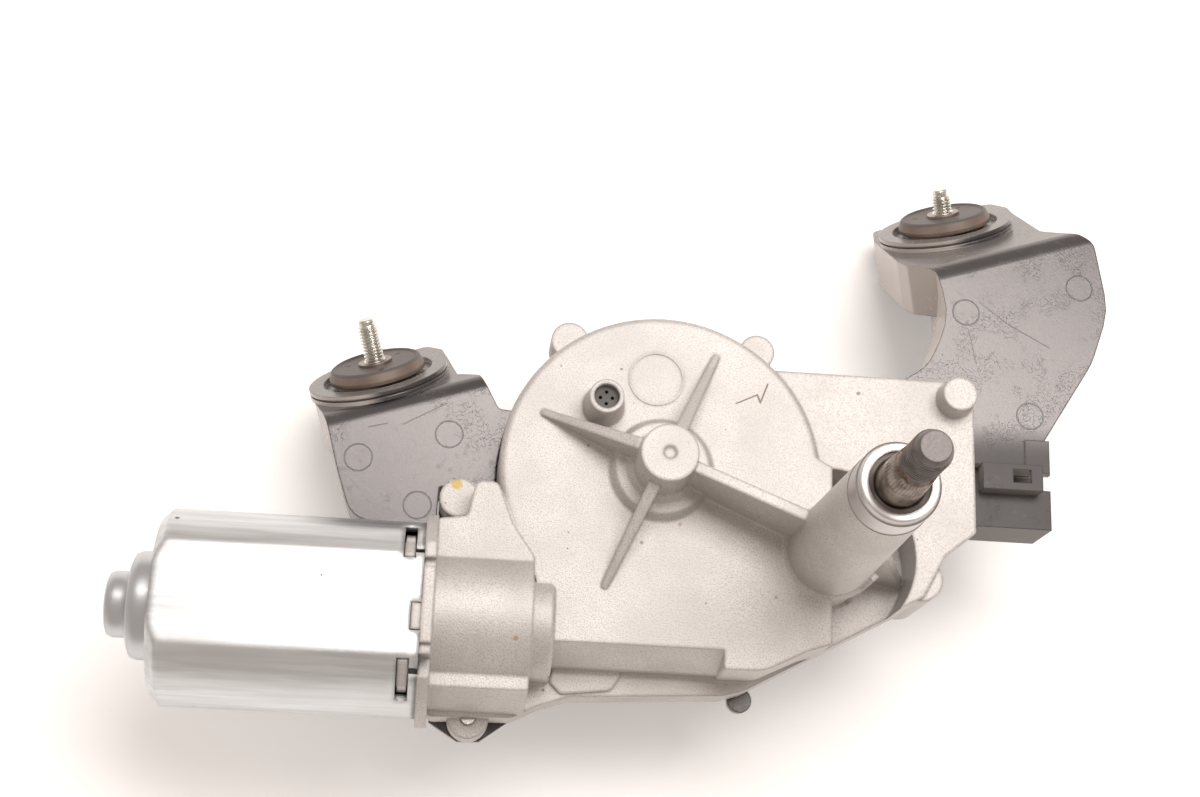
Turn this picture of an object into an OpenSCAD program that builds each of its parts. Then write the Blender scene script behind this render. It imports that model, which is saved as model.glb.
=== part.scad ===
// Rear-window wiper motor: a worm gear motor in a die-cast housing that swings a wiper
// spindle to and fro, on a moulded rear cover with two rubber-mounted studs.
// Drawn about the worm wheel's axis, with z = 0 on the housing's front face. The whole is
// then moved so that the origin is the spindle axis at the foot of the barrel's collar.

/* [Gear housing] */
// Thickness of the cast walls
case_wall = 3; // [2.4:0.2:4]
// Depth of the housing from its front face to the cover joint
case_depth = 32; // [32:1:40]
// Height of the side plate below the front face
side_step = 2; // [1:0.5:4]
// Depth of the pocket round the spindle barrel
pocket_depth = 18.5; // [14:0.5:20]
// Radius of the pocket round the spindle barrel
pocket_r = 25.1; // [22:0.5:26]
// Height of the centre hub above the front face
hub_h = 19.5; // [16:0.5:24]
// Radius of the centre hub
hub_r = 8.1; // [7.5:0.1:9]
// Thickness of the cast ribs
rib_t = 3.2; // [2.4:0.2:4]
// Height of the breather boss
vent_h = 10.7; // [8:0.5:14]

/* [Worm drive] */
// Module of the worm wheel
gear_module = 1.25; // [1.2:0.05:1.3]
// Teeth of the worm wheel
wheel_teeth = 64; // [60:1:68]
// Pitch radius of the worm
worm_pitch_r = 4.8; // [4.3:0.1:5]
// Face width of the worm wheel
wheel_w = 9; // [7:0.5:10]
// Depth of the motor axis below the housing's front face
motor_depth = 10; // [9:0.5:11]
// Radial room round the worm wheel
wheel_gap = 1.75; // [1.2:0.25:2.5]

/* [Sector drive] */
// Spindle axis from the wheel axis, to the right
spindle_x = 48.7; // [47:0.5:52]
// Spindle axis from the wheel axis, upwards
spindle_y = -21; // [-23:0.5:-19]
// Module of the sector and pinion teeth
sector_module = 1.25; // [1.15:0.05:1.25]
// Teeth of the spindle pinion
pinion_teeth = 12; // [12:1:13]
// Teeth of the sector's full circle
sector_circle_teeth = 36; // [36:1:38]
// Throw of the crank
crank_throw = 8; // [7:0.5:9]
// Length of the sector link between its eyes
link_length = 44; // [43.5:0.5:45]
// Thickness of the sector link
sector_t = 4.7; // [4:0.1:5]
// Thickness of the guide link
guide_t = 2.6; // [2:0.2:3]

/* [Spindle and barrel] */
// Height of the spindle barrel above the housing's front face
barrel_h = 80; // [60:1:90]
// Radius of the barrel at its root
barrel_root_r = 12.6; // [12:0.2:14]
// Radius of the barrel's machined collar
collar_r = 10.7; // [10.4:0.1:11.4]
// Height of the machined collar
collar_h = 10.5; // [8:0.5:14]
// Spindle shaft diameter
shaft_d = 12; // [11:0.2:12.4]
// Spindle thread diameter
thread_d = 10; // [8:0.5:10]
// Reach of the spindle above the barrel
spindle_reach = 32.5; // [28:0.5:40]
// Length of the spindle thread
thread_length = 13; // [10:0.5:16]
// Wall of the sintered spindle bushes
bush_wall = 1.8; // [1.4:0.1:2]

/* [Motor] */
// Radius of the motor can
can_r = 27.2; // [26.6:0.2:28.4]
// Distance of the can's flats from its axis
can_flat = 23.5; // [22:0.5:25]
// Length of the motor can
can_length = 72; // [66:1:80]
// Sheet thickness of the can
can_wall = 1.8; // [1.4:0.1:2.4]
// Radius of the can's end boss
boss_r = 15; // [13:0.5:17]
// Radius of the can's bearing cap
cap_r = 9.2; // [8:0.2:10]
// Radius of the armature core
core_r = 19.6; // [18.5:0.1:20]
// Radius of the armature shaft
motor_shaft_r = 3; // [2.5:0.1:3.2]

/* [Rear cover and arms] */
// Wall of the moulded cover and arms
cover_wall = 2.6; // [2:0.2:3.2]
// Thickness of the gasket between housing and cover
gasket_t = 0.8; // [0.5:0.1:1.2]
// Tilt of the mounting studs from the spindle axis
stud_tilt = 58; // [54:1:62]
// Turn of the stud direction about the spindle axis
stud_turn = 18; // [14:1:22]
// Depth of the left arm's face below the housing's front face
left_face_depth = 18; // [16:1:20]
// Depth of the right arm's face below the housing's front face
right_face_depth = 8; // [7:1:12]
// Depth of the left arm's side walls
left_wall_depth = 13; // [11:0.5:14]
// Depth of the right arm's side walls
right_wall_depth = 15.5; // [13:0.5:16.5]

/* [Rubber mounts] */
// Stud thread diameter
stud_d = 6; // [5:0.5:8]
// Reach of the left stud above its seat
left_stud_reach = 20.3; // [16:0.5:28]
// Reach of the right stud above its seat
right_stud_reach = 15; // [13:0.5:28]
// Radius of the grommet's upper disc
grommet_r = 14.5; // [13:0.25:15.5]
// Thickness of the grommet's upper disc
grommet_t = 4; // [3:0.5:5]
// Radius of the moulded seat round a grommet
seat_r = 21.2; // [19:0.2:23]
// Thickness of the moulded seat
seat_t = 3; // [2.5:0.5:4]

/* [Connector] */
// Width of the connector shroud
shroud_w = 24.8; // [24:0.4:28]
// Height of the connector shroud
shroud_h = 18; // [16:1:20]
// Length of the connector shroud
shroud_l = 25.2; // [22:0.4:30]
// Width of a terminal blade
blade_w = 2.3; // [1.5:0.1:2.8]
// Spacing of the terminal blades
blade_pitch = 4.4; // [4:0.1:5]

/* [Hidden] */
$fn = 64;
fit_gap = 0.05;
near_gap = 0.3;
rest_gap = 0.04;

wheel_r = wheel_teeth * gear_module / 2;
motor_y = -(wheel_r + worm_pitch_r);
gear_room_r = wheel_r + gear_module + wheel_gap;
case_r = gear_room_r + case_wall;
cover_gap = 0.4;
plate_inset = 1;
joint_z = -case_depth;
ledge_z = -20;
side_z = -side_step;
pocket_z = -pocket_depth;
room_z = pocket_z - case_wall;
spindle = [spindle_x, spindle_y];

wheel_top_z = -motor_depth + wheel_w / 2;
wheel_bottom_z = wheel_top_z - wheel_w;
crank_plate_t = 2.5;
crank_plate_z = wheel_bottom_z - near_gap - crank_plate_t;
sector_z = room_z - 0.8 - sector_t;
guide_z = sector_z - near_gap - guide_t;
pinion_r = pinion_teeth * sector_module / 2;
sector_r = sector_circle_teeth * sector_module / 2;
guide_length = pinion_r + sector_r;
eye_r = 6.5;
pin_r = 3.5;

// The crank, link and guide at rest, where the spindle has swung furthest clockwise
function crank_at(t) = crank_throw * [cos(t), sin(t)];
function pivot_at(t) =
    let (run = spindle - crank_at(t), far = norm(run),
         spread = acos((link_length * link_length + far * far - guide_length * guide_length)
             / (2 * link_length * far)))
    crank_at(t) + link_length * [cos(direction(run) + spread), sin(direction(run) + spread)];
function direction(v) = atan2(v.y, v.x);
function swing_at(t) =
    let (c = pivot_at(t), step_up = sector_circle_teeth / pinion_teeth)
    (1 + step_up) * direction(c - spindle) - step_up * direction(c - crank_at(t));
swings = [for (t = [0 : 359]) swing_at(t)];
rest_crank = search(min(swings), swings)[0];
crank_pin_at = crank_at(rest_crank);
link_pivot = pivot_at(rest_crank);
link_dir = direction(link_pivot - crank_pin_at);
guide_dir = direction(link_pivot - spindle);

shaft_r = shaft_d / 2;
bush_r = shaft_r + fit_gap + bush_wall;
barrel_neck_r = collar_r + 0.2;
spindle_top_z = barrel_h + spindle_reach;
seal_h = 5;
lower_bush_h = 18;
upper_bush_h = 16;

can_mouth_x = -65;
can_end_x = can_mouth_x - can_length;
boss_h = 7.5;
cap_h = 6.5;
flange_t = 3.2;
flange_r = can_r + 2.3;
neck_end_x = -34.8;
neck_z = 2;
neck_foot_y = motor_y - 23.5;
hump_r = 20;
neck_bore_r = 17.5;
step_r = 14.5;
step_end_x = -28.5;
tunnel_bore_r = worm_pitch_r + 2.2;
tunnel_end_x = 19;
tunnel_edge_y = motor_y - 5.4;
tunnel_foot_y = motor_y - 10.1;
worm_length = 21;
worm_start_x = 1.2 - worm_length / 2;
worm_tip_x = worm_length / 2 + 5.6;
bearing_r = 6.5;
tip_bush_r = 4.6;
tip_bush_l = 3.8;
ball_r = 1.25;
tip_journal_r = motor_shaft_r - 0.5;
shaft_tail_x = can_end_x - boss_h - cap_h + can_wall + 1;
core_length = can_length - 42;
core_x = can_end_x + 11;
commutator_x = can_mouth_x - 24;
commutator_l = 11;
commutator_r = 8.5;
brush_x = commutator_x + 5.5;
brush = [5, 8, 4.4];
holder_x = can_mouth_x - 15;
magnet_out_r = can_r - can_wall - fit_gap;
magnet_t = magnet_out_r - core_r - 0.6;

lugs = [[-26.3, 43.9], [30.4, 44.1], [75.5, -26.5], [-50.2, -69.4], [-56.5, -9.5]];
lug_rs = [5.6, 5.3, 6.4, 5.9, 5.6];
lug_tops = [-20, -20, side_z - 1, -23.6, -8];
lug_web = 4.8;
screw_r = 1.95;
screw_l = 14;
post_at = [85.8, 27];
post_r = 5;
post_h = 7;

cover_z = joint_z - gasket_t;
left_face_z = -left_face_depth;
right_face_z = -right_face_depth;
left_seat = [-82.4, 31.9, left_face_z - 18.8];
right_seat = [94.8, 95.2, right_face_z - 31.8];
bend_r = 7;
fold_slope = tan(stud_tilt / 2);
left_fold_v = (left_seat.z - left_face_z) / sin(stud_tilt);
right_fold_v = (right_seat.z - right_face_z) / sin(stud_tilt);
waist_r = 9;
recess_room = 2.3;
recess_depth = 1.5;
sleeve_r = 5;
shank_r = stud_d / 2 + 0.3;
grommet_low_t = 2.6;

shroud_x = 92;
shroud_y = -7.8;
shroud_top_z = -12;
shroud_wall = 2;
latch = [[95.5, 2.5], [113.4, 10.4]];
latch_h = 5;
blade_t = 0.8;
blade_x = shroud_x + 2.4;
blade_y = [for (i = [-1.5 : 1.5]) shroud_y + shroud_w / 2 + i * blade_pitch];
blade_z = shroud_top_z - shroud_h / 2;
lead_z = cover_z - 1.2;
lead_w = 2.4;

// Outlines seen from the front, as [x, y, corner radius], anticlockwise
case_line = [[-62, -70, 2], [-38, -69.2, 4], [-31, -65.6, 6], [-22, -62.5, 8], [22, -60, 5],
    [28, -58.2, 3], [40.6, -51.3, 10], [76, -31.8, 3], [82.5, -19.5, 1.5], [91.5, -12.5, 1.5],
    [91.5, 32.6, 5.6], [28, 32.6, 0], [-20, 20, 0], [-45, -4.5, 0], [-54, -4.5, 3],
    [-57, -14.5, 2], [-62, -15, 1]];
side_part = [[20, -20], [49, -46], [49, -60], [100, -60], [100, 40], [28, 40]];
front_line = [[-36, -28, 0], [step_end_x, motor_y - 4, 0], [tunnel_end_x, motor_y - 4, 0],
    [tunnel_end_x, motor_y - 10.9, 1], [30.3, motor_y - 10.7, 8], [43, motor_y - 4.4, 4],
    [49.2, motor_y - 2.3, 0.5], [49.2, 4, 0], [20, 20, 0]];
neck_line = [[-62, neck_foot_y + 3.6, 0.5], [neck_end_x, neck_foot_y + 3.6, 1], [neck_end_x, -27.4, 3],
    [-41.3, -18.3, 8], [-46, -6.7, 2.5], [-52.2, -6.7, 2.5], [-53.9, -16.9, 1.5], [-62, -18.1, 1]];
left_arm_line = [[-99.5, 24.5, 0], [-92.3, 0, 20], [-87, -15.4, 8], [-62.6, -15.4, 1],
    [-62.6, -4, 1], [-40, -4, 0], [-40, 20, 0], [-46.5, 20.5, 2], [-52.7, 32, 1.5], [-58.5, 33.5, 0]];
right_arm_line = [[79.8, 80, 0], [86.9, 55.5, 22], [79.8, 39.2, 14], [70, 33, 0], [92, 33, 0],
    [92, 10, 0], [112, 10, 2], [114.7, 18.5, 2], [130, 43.3, 26], [135.8, 60.5, 22],
    [132.2, 82.2, 5], [128, 85.6, 2], [118.5, 89.5, 0]];
// The arms' heads in their tilted planes, from below the fold to the far edge
left_head_line = [[-18.7, left_fold_v - 9, 0], [28.3, left_fold_v - 9, 0],
    [28.3, left_fold_v + 5, 1.5], [22.5, left_fold_v + 7.5, 2], [22.8, 11.2, 6], [22.8, 23, 3],
    [18.6, 31.8, 3], [-17.7, 19, 3], [-20, 12.6, 4], [-20.5, -5.7, 6], [-19, left_fold_v, 0]];
right_head_line = [[-18.7, right_fold_v - 9, 0], [28.3, right_fold_v - 9, 0],
    [28.3, right_fold_v, 2], [22, -23.4, 5], [26.9, 7.7, 5], [29.1, 16.3, 4], [27.6, 27.6, 3],
    [-15, 26, 3], [-19.6, 13.5, 5], [-24.2, -18, 6], [-24.2, -26.6, 3],
    [-19.3, right_fold_v, 0]];

aluminium = [0.74, 0.72, 0.69];
zinc = [0.72, 0.74, 0.76];
black_plastic = [0.16, 0.16, 0.17];
rubber_brown = [0.30, 0.24, 0.20];
steel = [0.45, 0.44, 0.43];
bronze = [0.62, 0.48, 0.30];
copper = [0.72, 0.45, 0.28];

// Plane geometry

function unit(v) = v / norm(v);
function turn(v) = [v.y, -v.x];
function at(list, i) = list[(i + len(list)) % len(list)];
function xy(p) = [p.x, p.y];

// A corner p between a and c, rounded to radius r
function corner(a, p, c, r) =
    r < 0.01 ? [p] :
    let (u = unit(a - p), w = unit(c - p), half = acos(max(-1, min(1, u * w))) / 2,
         mid = p + unit(u + w) * r / sin(half),
         start = p + u * r / tan(half) - mid, stop = p + w * r / tan(half) - mid,
         a0 = atan2(start.y, start.x),
         sweep = ((atan2(stop.y, stop.x) - a0 + 540) % 360) - 180,
         steps = max(2, ceil(abs(sweep) / 15)))
    [for (i = [0 : steps]) mid + r * [cos(a0 + sweep * i / steps), sin(a0 + sweep * i / steps)]];

// The same outline moved inwards by d; a negative d moves it outwards
function inset(line, d) =
    [for (i = [0 : len(line) - 1])
        let (a = xy(at(line, i - 1)), p = xy(line[i]), c = xy(at(line, i + 1)),
             n1 = -turn(unit(p - a)), n2 = -turn(unit(c - p)),
             turns_in = cross(p - a, c - p) > 0 ? -1 : 1,
             moved = p + (n1 + n2) * d / (1 + n1 * n2),
             r = line[i][2])
        [moved.x, moved.y, r < 0.01 ? 0 : max(0.3, r + turns_in * d)]];

function rounded(line) =
    [for (i = [0 : len(line) - 1])
        each corner(xy(at(line, i - 1)), xy(line[i]), xy(at(line, i + 1)), line[i][2])];

module outline(line, d = 0) polygon(rounded(inset(line, d)));

module slab(z0, z1) translate([0, 0, z0]) linear_extrude(z1 - z0) children();

// Places: the spindle datum, the motor axis and the tilted stud seats

module placed() translate([-spindle_x, -spindle_y, collar_h - barrel_h]) children();
module on_motor_axis(x = 0) translate([x, motor_y, -motor_depth]) rotate([0, 90, 0]) children();
module on_spindle(z = 0) translate([spindle_x, spindle_y, z]) children();
module on_seat(seat) translate(seat) rotate([-stud_tilt, 0, stud_turn]) children();

module ring(r_out, r_in, h) difference() {
    cylinder(h = h, r = r_out);
    translate([0, 0, -1]) cylinder(h = h + 2, r = r_in);
}

// Gear housing

module disc_front() rotate_extrude() polygon(concat([[0, joint_z], [case_r, joint_z]],
    [for (a = [0 : 18 : 90]) [case_r - 2 + 2 * cos(a), -2 + 2 * sin(a)]], [[0, 0]]));

// A tapering rib from the hub out to a tip on the front face
module tapered_rib(tip) {
    reach = norm(tip);
    rotate([0, 0, atan2(tip.y, tip.x)]) intersection() {
        slab(-1, hub_h) outline([[0, -0.62 * rib_t, 0], [reach, -0.31 * rib_t, 0.28 * rib_t],
            [reach, 0.31 * rib_t, 0.28 * rib_t], [0, 0.62 * rib_t, 0]]);
        translate([0, rib_t, 0]) rotate([90, 0, 0]) linear_extrude(2 * rib_t)
            polygon([[hub_r - 2, -1], [reach + 1, -1], [reach + 1, 0.4], [reach, 0.4],
                [reach - 5, 2.4], [hub_r + 1, hub_h - 5], [hub_r - 2, hub_h - 5]]);
    }
}

// The tall web from the hub to the barrel
module barrel_web() {
    reach = norm(spindle) - barrel_root_r + 2;
    rotate([0, 0, atan2(spindle_y, spindle_x)]) translate([0, rib_t / 2, 0]) rotate([90, 0, 0])
        linear_extrude(rib_t) polygon([[hub_r - 2, -1], [reach, -1], [reach, hub_h + 3],
            [hub_r - 2, hub_h - 1.5]]);
}

module centre_hub() {
    cylinder(h = 3, r1 = 15, r2 = 13.2);
    cylinder(h = hub_h, r1 = hub_r + 0.6, r2 = hub_r);
    translate([0, 0, 2.9]) cylinder(h = 3, r1 = 10.5, r2 = hub_r);
}

module barrel_outside() on_spindle() {
    translate([0, 0, pocket_z - 1])
        cylinder(h = barrel_h - collar_h - pocket_z + 1, r1 = barrel_root_r + 0.4, r2 = barrel_neck_r);
    translate([0, 0, barrel_h - collar_h - 0.1]) cylinder(h = collar_h - 1.9, r = collar_r);
    translate([0, 0, barrel_h - 2]) cylinder(h = 2, r1 = collar_r - 0.4, r2 = collar_r - 0.9);
    translate([0, 0, -0.1]) cylinder(h = 1.3, r1 = barrel_root_r + 1.2, r2 = barrel_root_r);
}

// A screw lug with the web that joins it to the case
module lug_shape(i, d = 0) {
    lug = lugs[i];
    translate(lug) circle(r = lug_rs[i] - d);
    if (lug.y > 30) rotate(atan2(lug.y, lug.x)) translate([case_r - 4, d - lug_web])
        square([norm(lug) - case_r + 4, 2 * (lug_web - d)]);
}

// A bar along the motor axis whose section is given as [y, z]
module motor_bar(x0, x1, section) translate([x0, 0, 0]) rotate([90, 0, 90])
    linear_extrude(x1 - x0) polygon(section);

module case_body() {
    disc_front();
    slab(joint_z, ledge_z) outline(case_line);
    slab(ledge_z - 1, side_z) intersection() {
        outline(case_line);
        polygon(side_part);
    }
    slab(ledge_z - 1, 0) outline(front_line);
    slab(ledge_z - 1, neck_z) outline(neck_line);
    motor_bar(-62, neck_end_x, [[motor_y, neck_z - 2], [neck_foot_y + 4, neck_z - 2],
        [neck_foot_y, ledge_z], [neck_foot_y, ledge_z - 1], [motor_y, ledge_z - 1]]);
    motor_bar(step_end_x - 1, tunnel_end_x + 1, [[motor_y, 0], [tunnel_edge_y, 0],
        [tunnel_foot_y, -14], [tunnel_foot_y, ledge_z - 1], [motor_y, ledge_z - 1]]);
    motor_bar(neck_end_x - 1, step_end_x, [[motor_y, 0.5 - motor_depth],
        [motor_y - step_r + 0.2, 0.5 - motor_depth], [motor_y - step_r + 0.2, ledge_z - 1],
        [motor_y, ledge_z - 1]]);
    on_motor_axis(-62) cylinder(h = 62 + neck_end_x, r = hump_r);
    on_motor_axis(neck_end_x - 1) cylinder(h = step_end_x - neck_end_x, r = step_r);
    on_motor_axis(step_end_x - 1) cylinder(h = 1, r1 = step_r, r2 = step_r - 0.8);
    for (i = [0 : len(lugs) - 1]) slab(joint_z, lug_tops[i]) lug_shape(i);
    slab(ledge_z - 1, ledge_z + 0.8) outline([[-27, -54, 0], [-27.9, -58.8, 1.5],
        [-24.6, -61.9, 1.5], [-10.4, -60.3, 3], [-7.7, -55.9, 1.5], [-8.3, -54, 0]]);
}

module motor_flange() difference() {
    on_motor_axis(can_mouth_x) {
        linear_extrude(flange_t) intersection() {
            circle(r = flange_r);
            square([2 * can_flat + 1, 2 * flange_r + 2], center = true);
        }
        translate([0, 0, -9]) cylinder(h = 9.1, r = can_flat - can_wall - fit_gap);
        translate([-can_flat, -6.6, -2.6]) cube([6, 7.1, 4]);
    }
    on_motor_axis(can_mouth_x - 10) cylinder(h = 20, r = neck_bore_r + 1.5);
    translate([can_mouth_x - 0.5, motor_y - 18.7, 7]) cube([flange_t + 1, 5.6, 12]);
    translate([can_mouth_x - 0.5, motor_y - 12.6, 12.4]) cube([flange_t + 1, 2.5, 4]);
    translate([can_mouth_x - 0.5, motor_y + 10.6, 11.6]) cube([flange_t + 1, 2.4, 4]);
}

module front_details() {
    centre_hub();
    for (tip = [[-34.9, 15.2], [15.3, 35.5], [-15.3, -34.9]]) tapered_rib(tip);
    barrel_web();
    translate([-17.2, 17.7, -0.1]) cylinder(h = vent_h + 0.1, r1 = 6, r2 = 4.9);
    translate([-2.2, 27, 0]) translate([0, 0, -0.1]) ring(8, 7.5, 0.35);
    translate([post_at.x, post_at.y, side_z - 0.1]) cylinder(h = post_h, r1 = post_r + 0.5, r2 = post_r);
    on_spindle() {
        rotate([0, 0, -45]) translate([barrel_root_r - 1, -1.25, pocket_z - 0.5])
            cube([2.4, 2.5, 13.5 + pocket_depth]);
        rotate([0, 0, -10]) translate([barrel_root_r - 1, 1.2, pocket_z - 0.5]) rotate([90, 0, 0])
            linear_extrude(2.4) polygon([[0, 0], [pocket_r - barrel_root_r + 1.5, 0],
                [pocket_r - barrel_root_r + 1.5, 1], [3, pocket_depth + 10.5],
                [0, pocket_depth + 10.5]]);
    }
}

module barrel_pocket() intersection() {
    on_spindle(pocket_z) cylinder(h = 40, r = pocket_r);
    translate([49.2, spindle_y - 40, pocket_z]) cube([60, 80, 60]);
}

module gear_rooms() {
    translate([0, 0, joint_z - 1]) cylinder(h = case_depth + 1 - case_wall, r = gear_room_r);
    difference() {
        slab(joint_z - 1, room_z) outline(case_line, case_wall);
        translate([-100, -100, joint_z - 2]) cube([62, 200, 40]);
        for (i = [0 : len(lugs) - 1]) translate([lugs[i].x, lugs[i].y, joint_z - 2])
            cylinder(h = 40, r = lug_rs[i]);
    }
    difference() {
        slab(room_z - 1, side_z - case_wall) outline([[30, 2, 0], [60, 2, 0],
            [91.5 - case_wall, -9, 3], [91.5 - case_wall, 29.6, 3], [30, 29.6, 0]]);
        on_spindle(joint_z) cylinder(h = 40, r = pocket_r + case_wall);
    }
}

module motor_bores() {
    on_motor_axis(can_mouth_x - 12) cylinder(h = neck_end_x - can_mouth_x + 8, r = neck_bore_r);
    on_motor_axis(neck_end_x - 5) cylinder(h = step_end_x - neck_end_x + 4, r = bearing_r);
    on_motor_axis(step_end_x - 1.5)
        cylinder(h = worm_tip_x - tip_bush_l - step_end_x + 1.5, r = tunnel_bore_r);
    on_motor_axis(worm_tip_x - tip_bush_l - 1) cylinder(h = tip_bush_l + 1, r = tip_bush_r);
    on_motor_axis(worm_tip_x - 1) cylinder(h = 1 + 2 * ball_r + 0.1, r = ball_r + 0.05);
}

module barrel_bores() on_spindle() {
    translate([0, 0, room_z - 1]) cylinder(h = barrel_h - room_z + 2, r = bush_r);
}

module gear_housing() color(aluminium) placed() difference() {
    union() {
        difference() {
            case_body();
            barrel_pocket();
        }
        motor_flange();
        barrel_outside();
        front_details();
    }
    gear_rooms();
    motor_bores();
    barrel_bores();
    translate([0, 0, -case_wall - 1]) cylinder(h = hub_h - 3 + case_wall, r = bearing_r);
    translate([0, 0, hub_h - 0.8]) cylinder(h = 2, r1 = 1.4, r2 = 3);
    translate([-17.2, 17.7, -case_wall - 1]) cylinder(h = vent_h + case_wall + 2, r = 3.6);
    for (lug = lugs) translate([lug.x, lug.y, joint_z - 1])
        cylinder(h = screw_l - cover_wall + 1, r = screw_r + fit_gap);
}

module breather_plug() color([0.9, 0.9, 0.88]) placed()
    translate([-17.2, 17.7, vent_h - 5]) difference() {
        cylinder(h = 3, r = 3.6 - rest_gap);
        for (a = [0 : 90 : 359]) rotate([0, 0, a]) translate([1.7, 0, -1]) cylinder(h = 5, r = 0.5);
    }

// Motor can and what it holds

module can_section(d = 0) intersection() {
    circle(r = can_r - d);
    square([2 * (can_flat - d), 2 * can_r], center = true);
}

// Tools that cut the can: two windows, their slits to the mouth and the seat of the cast key
module can_notches() {
    for (cut = [[-5.7, 12.7, 3.4, 10.2], [-5.7, -24.2, 3.4, 9.9], [-3, 14.2, 4, 1.2],
            [-3, -18.1, 4, 1.4], [-2.8, -6.9, 4, 7.7]])
        translate([can_mouth_x + cut[0], motor_y + cut[1], 2]) cube([cut[2], cut[3], 20]);
}

module motor_can() color(zinc) placed() difference() {
    on_motor_axis(can_end_x) {
        intersection() {
            linear_extrude(can_length - rest_gap) can_section();
            cylinder(h = can_length, r1 = can_r - 2.6, r2 = can_r - 2.6 + can_length);
        }
        translate([0, 0, -boss_h]) rotate_extrude() polygon([[0, 0], [boss_r - 2.5, 0],
            [boss_r - 0.7, 0.8], [boss_r, 2.5], [boss_r, boss_h + 0.1], [0, boss_h + 0.1]]);
        translate([0, 0, -boss_h - cap_h]) rotate_extrude() polygon([[0, 0], [cap_r - 2, 0],
            [cap_r - 0.6, 0.6], [cap_r, 2], [cap_r, cap_h + 0.1], [0, cap_h + 0.1]]);
    }
    on_motor_axis(can_end_x + can_wall) linear_extrude(can_length) can_section(can_wall);
    on_motor_axis(can_end_x - boss_h + can_wall) cylinder(h = boss_h + 1, r = boss_r - can_wall);
    on_motor_axis(can_end_x - boss_h - cap_h + can_wall) cylinder(h = cap_h + 1, r = cap_r - can_wall);
    can_notches();
}

module field_magnets() color([0.25, 0.25, 0.26]) placed()
    for (side = [0, 180]) on_motor_axis(core_x) rotate([0, 0, side + 90 - 48])
        rotate_extrude(angle = 96) translate([magnet_out_r - magnet_t, 0]) square([magnet_t, core_length]);

module rear_bearing() color(bronze) placed()
    on_motor_axis(can_end_x - boss_h - cap_h + can_wall + near_gap)
        ring(cap_r - can_wall - rest_gap, motor_shaft_r + fit_gap, cap_h + 1);

module bearing_clip() color(steel) placed()
    on_motor_axis(can_end_x - boss_h + can_wall + 1.5)
        ring(boss_r - can_wall - rest_gap, cap_r - can_wall - 0.6, 0.8);

// One side's brush guide: a box along +Y that is open towards the commutator
module brush_guide(d) translate([brush_x - brush.x / 2 - d, commutator_r + 1.5 - d, -brush.z / 2 - d])
    cube([brush.x + 2 * d, 13 + d, brush.z + 2 * d]);

module both_brush_sides() translate([0, motor_y, -motor_depth])
    for (a = [0, 180]) rotate([a, 0, 0]) children();

module brush_holder() color([0.55, 0.50, 0.42]) placed() difference() {
    union() {
        on_motor_axis(holder_x) linear_extrude(2.5) difference() {
            can_section(can_wall + fit_gap);
            circle(r = commutator_r + 2);
        }
        both_brush_sides() brush_guide(1.2);
    }
    both_brush_sides() translate([0, -2, 0]) brush_guide(fit_gap);
}

module carbon_brushes() color([0.2, 0.2, 0.21]) placed() both_brush_sides()
    translate([brush_x - brush.x / 2, commutator_r + fit_gap, -brush.z / 2]) cube(brush);

module brush_springs() color(steel) placed() both_brush_sides()
    translate([brush_x, commutator_r + brush.y + 0.1, 0]) rotate([-90, 0, 0]) for (i = [0 : 4])
        translate([0, 0, i * 0.74]) rotate_extrude($fn = 24) translate([1.6, 0.38]) circle(r = 0.38, $fn = 8);

module choke_coils() color(copper) placed() for (a = [-18, 18])
    translate([can_mouth_x + 4, motor_y, -motor_depth]) rotate([a, 0, 0])
        translate([0, 0, neck_bore_r - 2.05]) rotate([0, 90, 0]) cylinder(h = 14, r = 2);

module middle_bush() color(bronze) placed() on_motor_axis(neck_end_x - 2)
    ring(bearing_r - rest_gap, motor_shaft_r + fit_gap, step_end_x - neck_end_x);

module tip_bush() color(bronze) placed() on_motor_axis(worm_tip_x - tip_bush_l)
    ring(tip_bush_r - rest_gap, tip_journal_r + fit_gap, tip_bush_l - rest_gap);

module thrust_ball() color(steel) placed() on_motor_axis(worm_tip_x + ball_r + fit_gap) sphere(r = ball_r);

module armature_shaft() color(steel) placed() {
    root_r = worm_pitch_r - 1.35 * gear_module;
    on_motor_axis(shaft_tail_x) cylinder(h = -worm_length / 2 - 2 - shaft_tail_x, r = motor_shaft_r);
    on_motor_axis(-worm_length / 2 - 2.1) cylinder(h = worm_length + 2.7, r = root_r);
    on_motor_axis(worm_length / 2 + 0.5) cylinder(h = worm_tip_x - worm_length / 2 - 0.5, r = tip_journal_r);
    worm_thread();
}

// The worm's thread: a tooth section swept along a helix, closed at both ends. It is turned so
// that the wheel's lowest tooth stands midway between two of its crests.
module worm_thread() {
    lead = PI * gear_module;
    turns = (worm_length - 2.4) / lead;
    per_turn = 18;
    rings = floor(turns * per_turn);
    root = worm_pitch_r - 1.4 * gear_module;
    tip = worm_pitch_r + 0.9 * gear_module;
    phase = 360 * worm_start_x / lead - 90;
    section = [[root, -1.18], [root, 1.18], [tip, 0.42], [tip, -0.42]];
    points = [for (i = [0 : rings]) let (a = 360 * i / per_turn, run = lead * i / per_turn)
        for (s = section) [s[0] * cos(a), s[0] * sin(a), run + s[1]]];
    sides = [for (i = [0 : rings - 1]) for (k = [0 : 3]) let (b = 4 * i, m = (k + 1) % 4)
        each [[b + k, b + m + 4, b + m], [b + k, b + k + 4, b + m + 4]]];
    ends = [[0, 1, 2, 3], [4 * rings + 3, 4 * rings + 2, 4 * rings + 1, 4 * rings]];
    on_motor_axis(worm_start_x) rotate([0, 0, phase])
        polyhedron(points = points, faces = concat(sides, ends));
}

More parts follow.
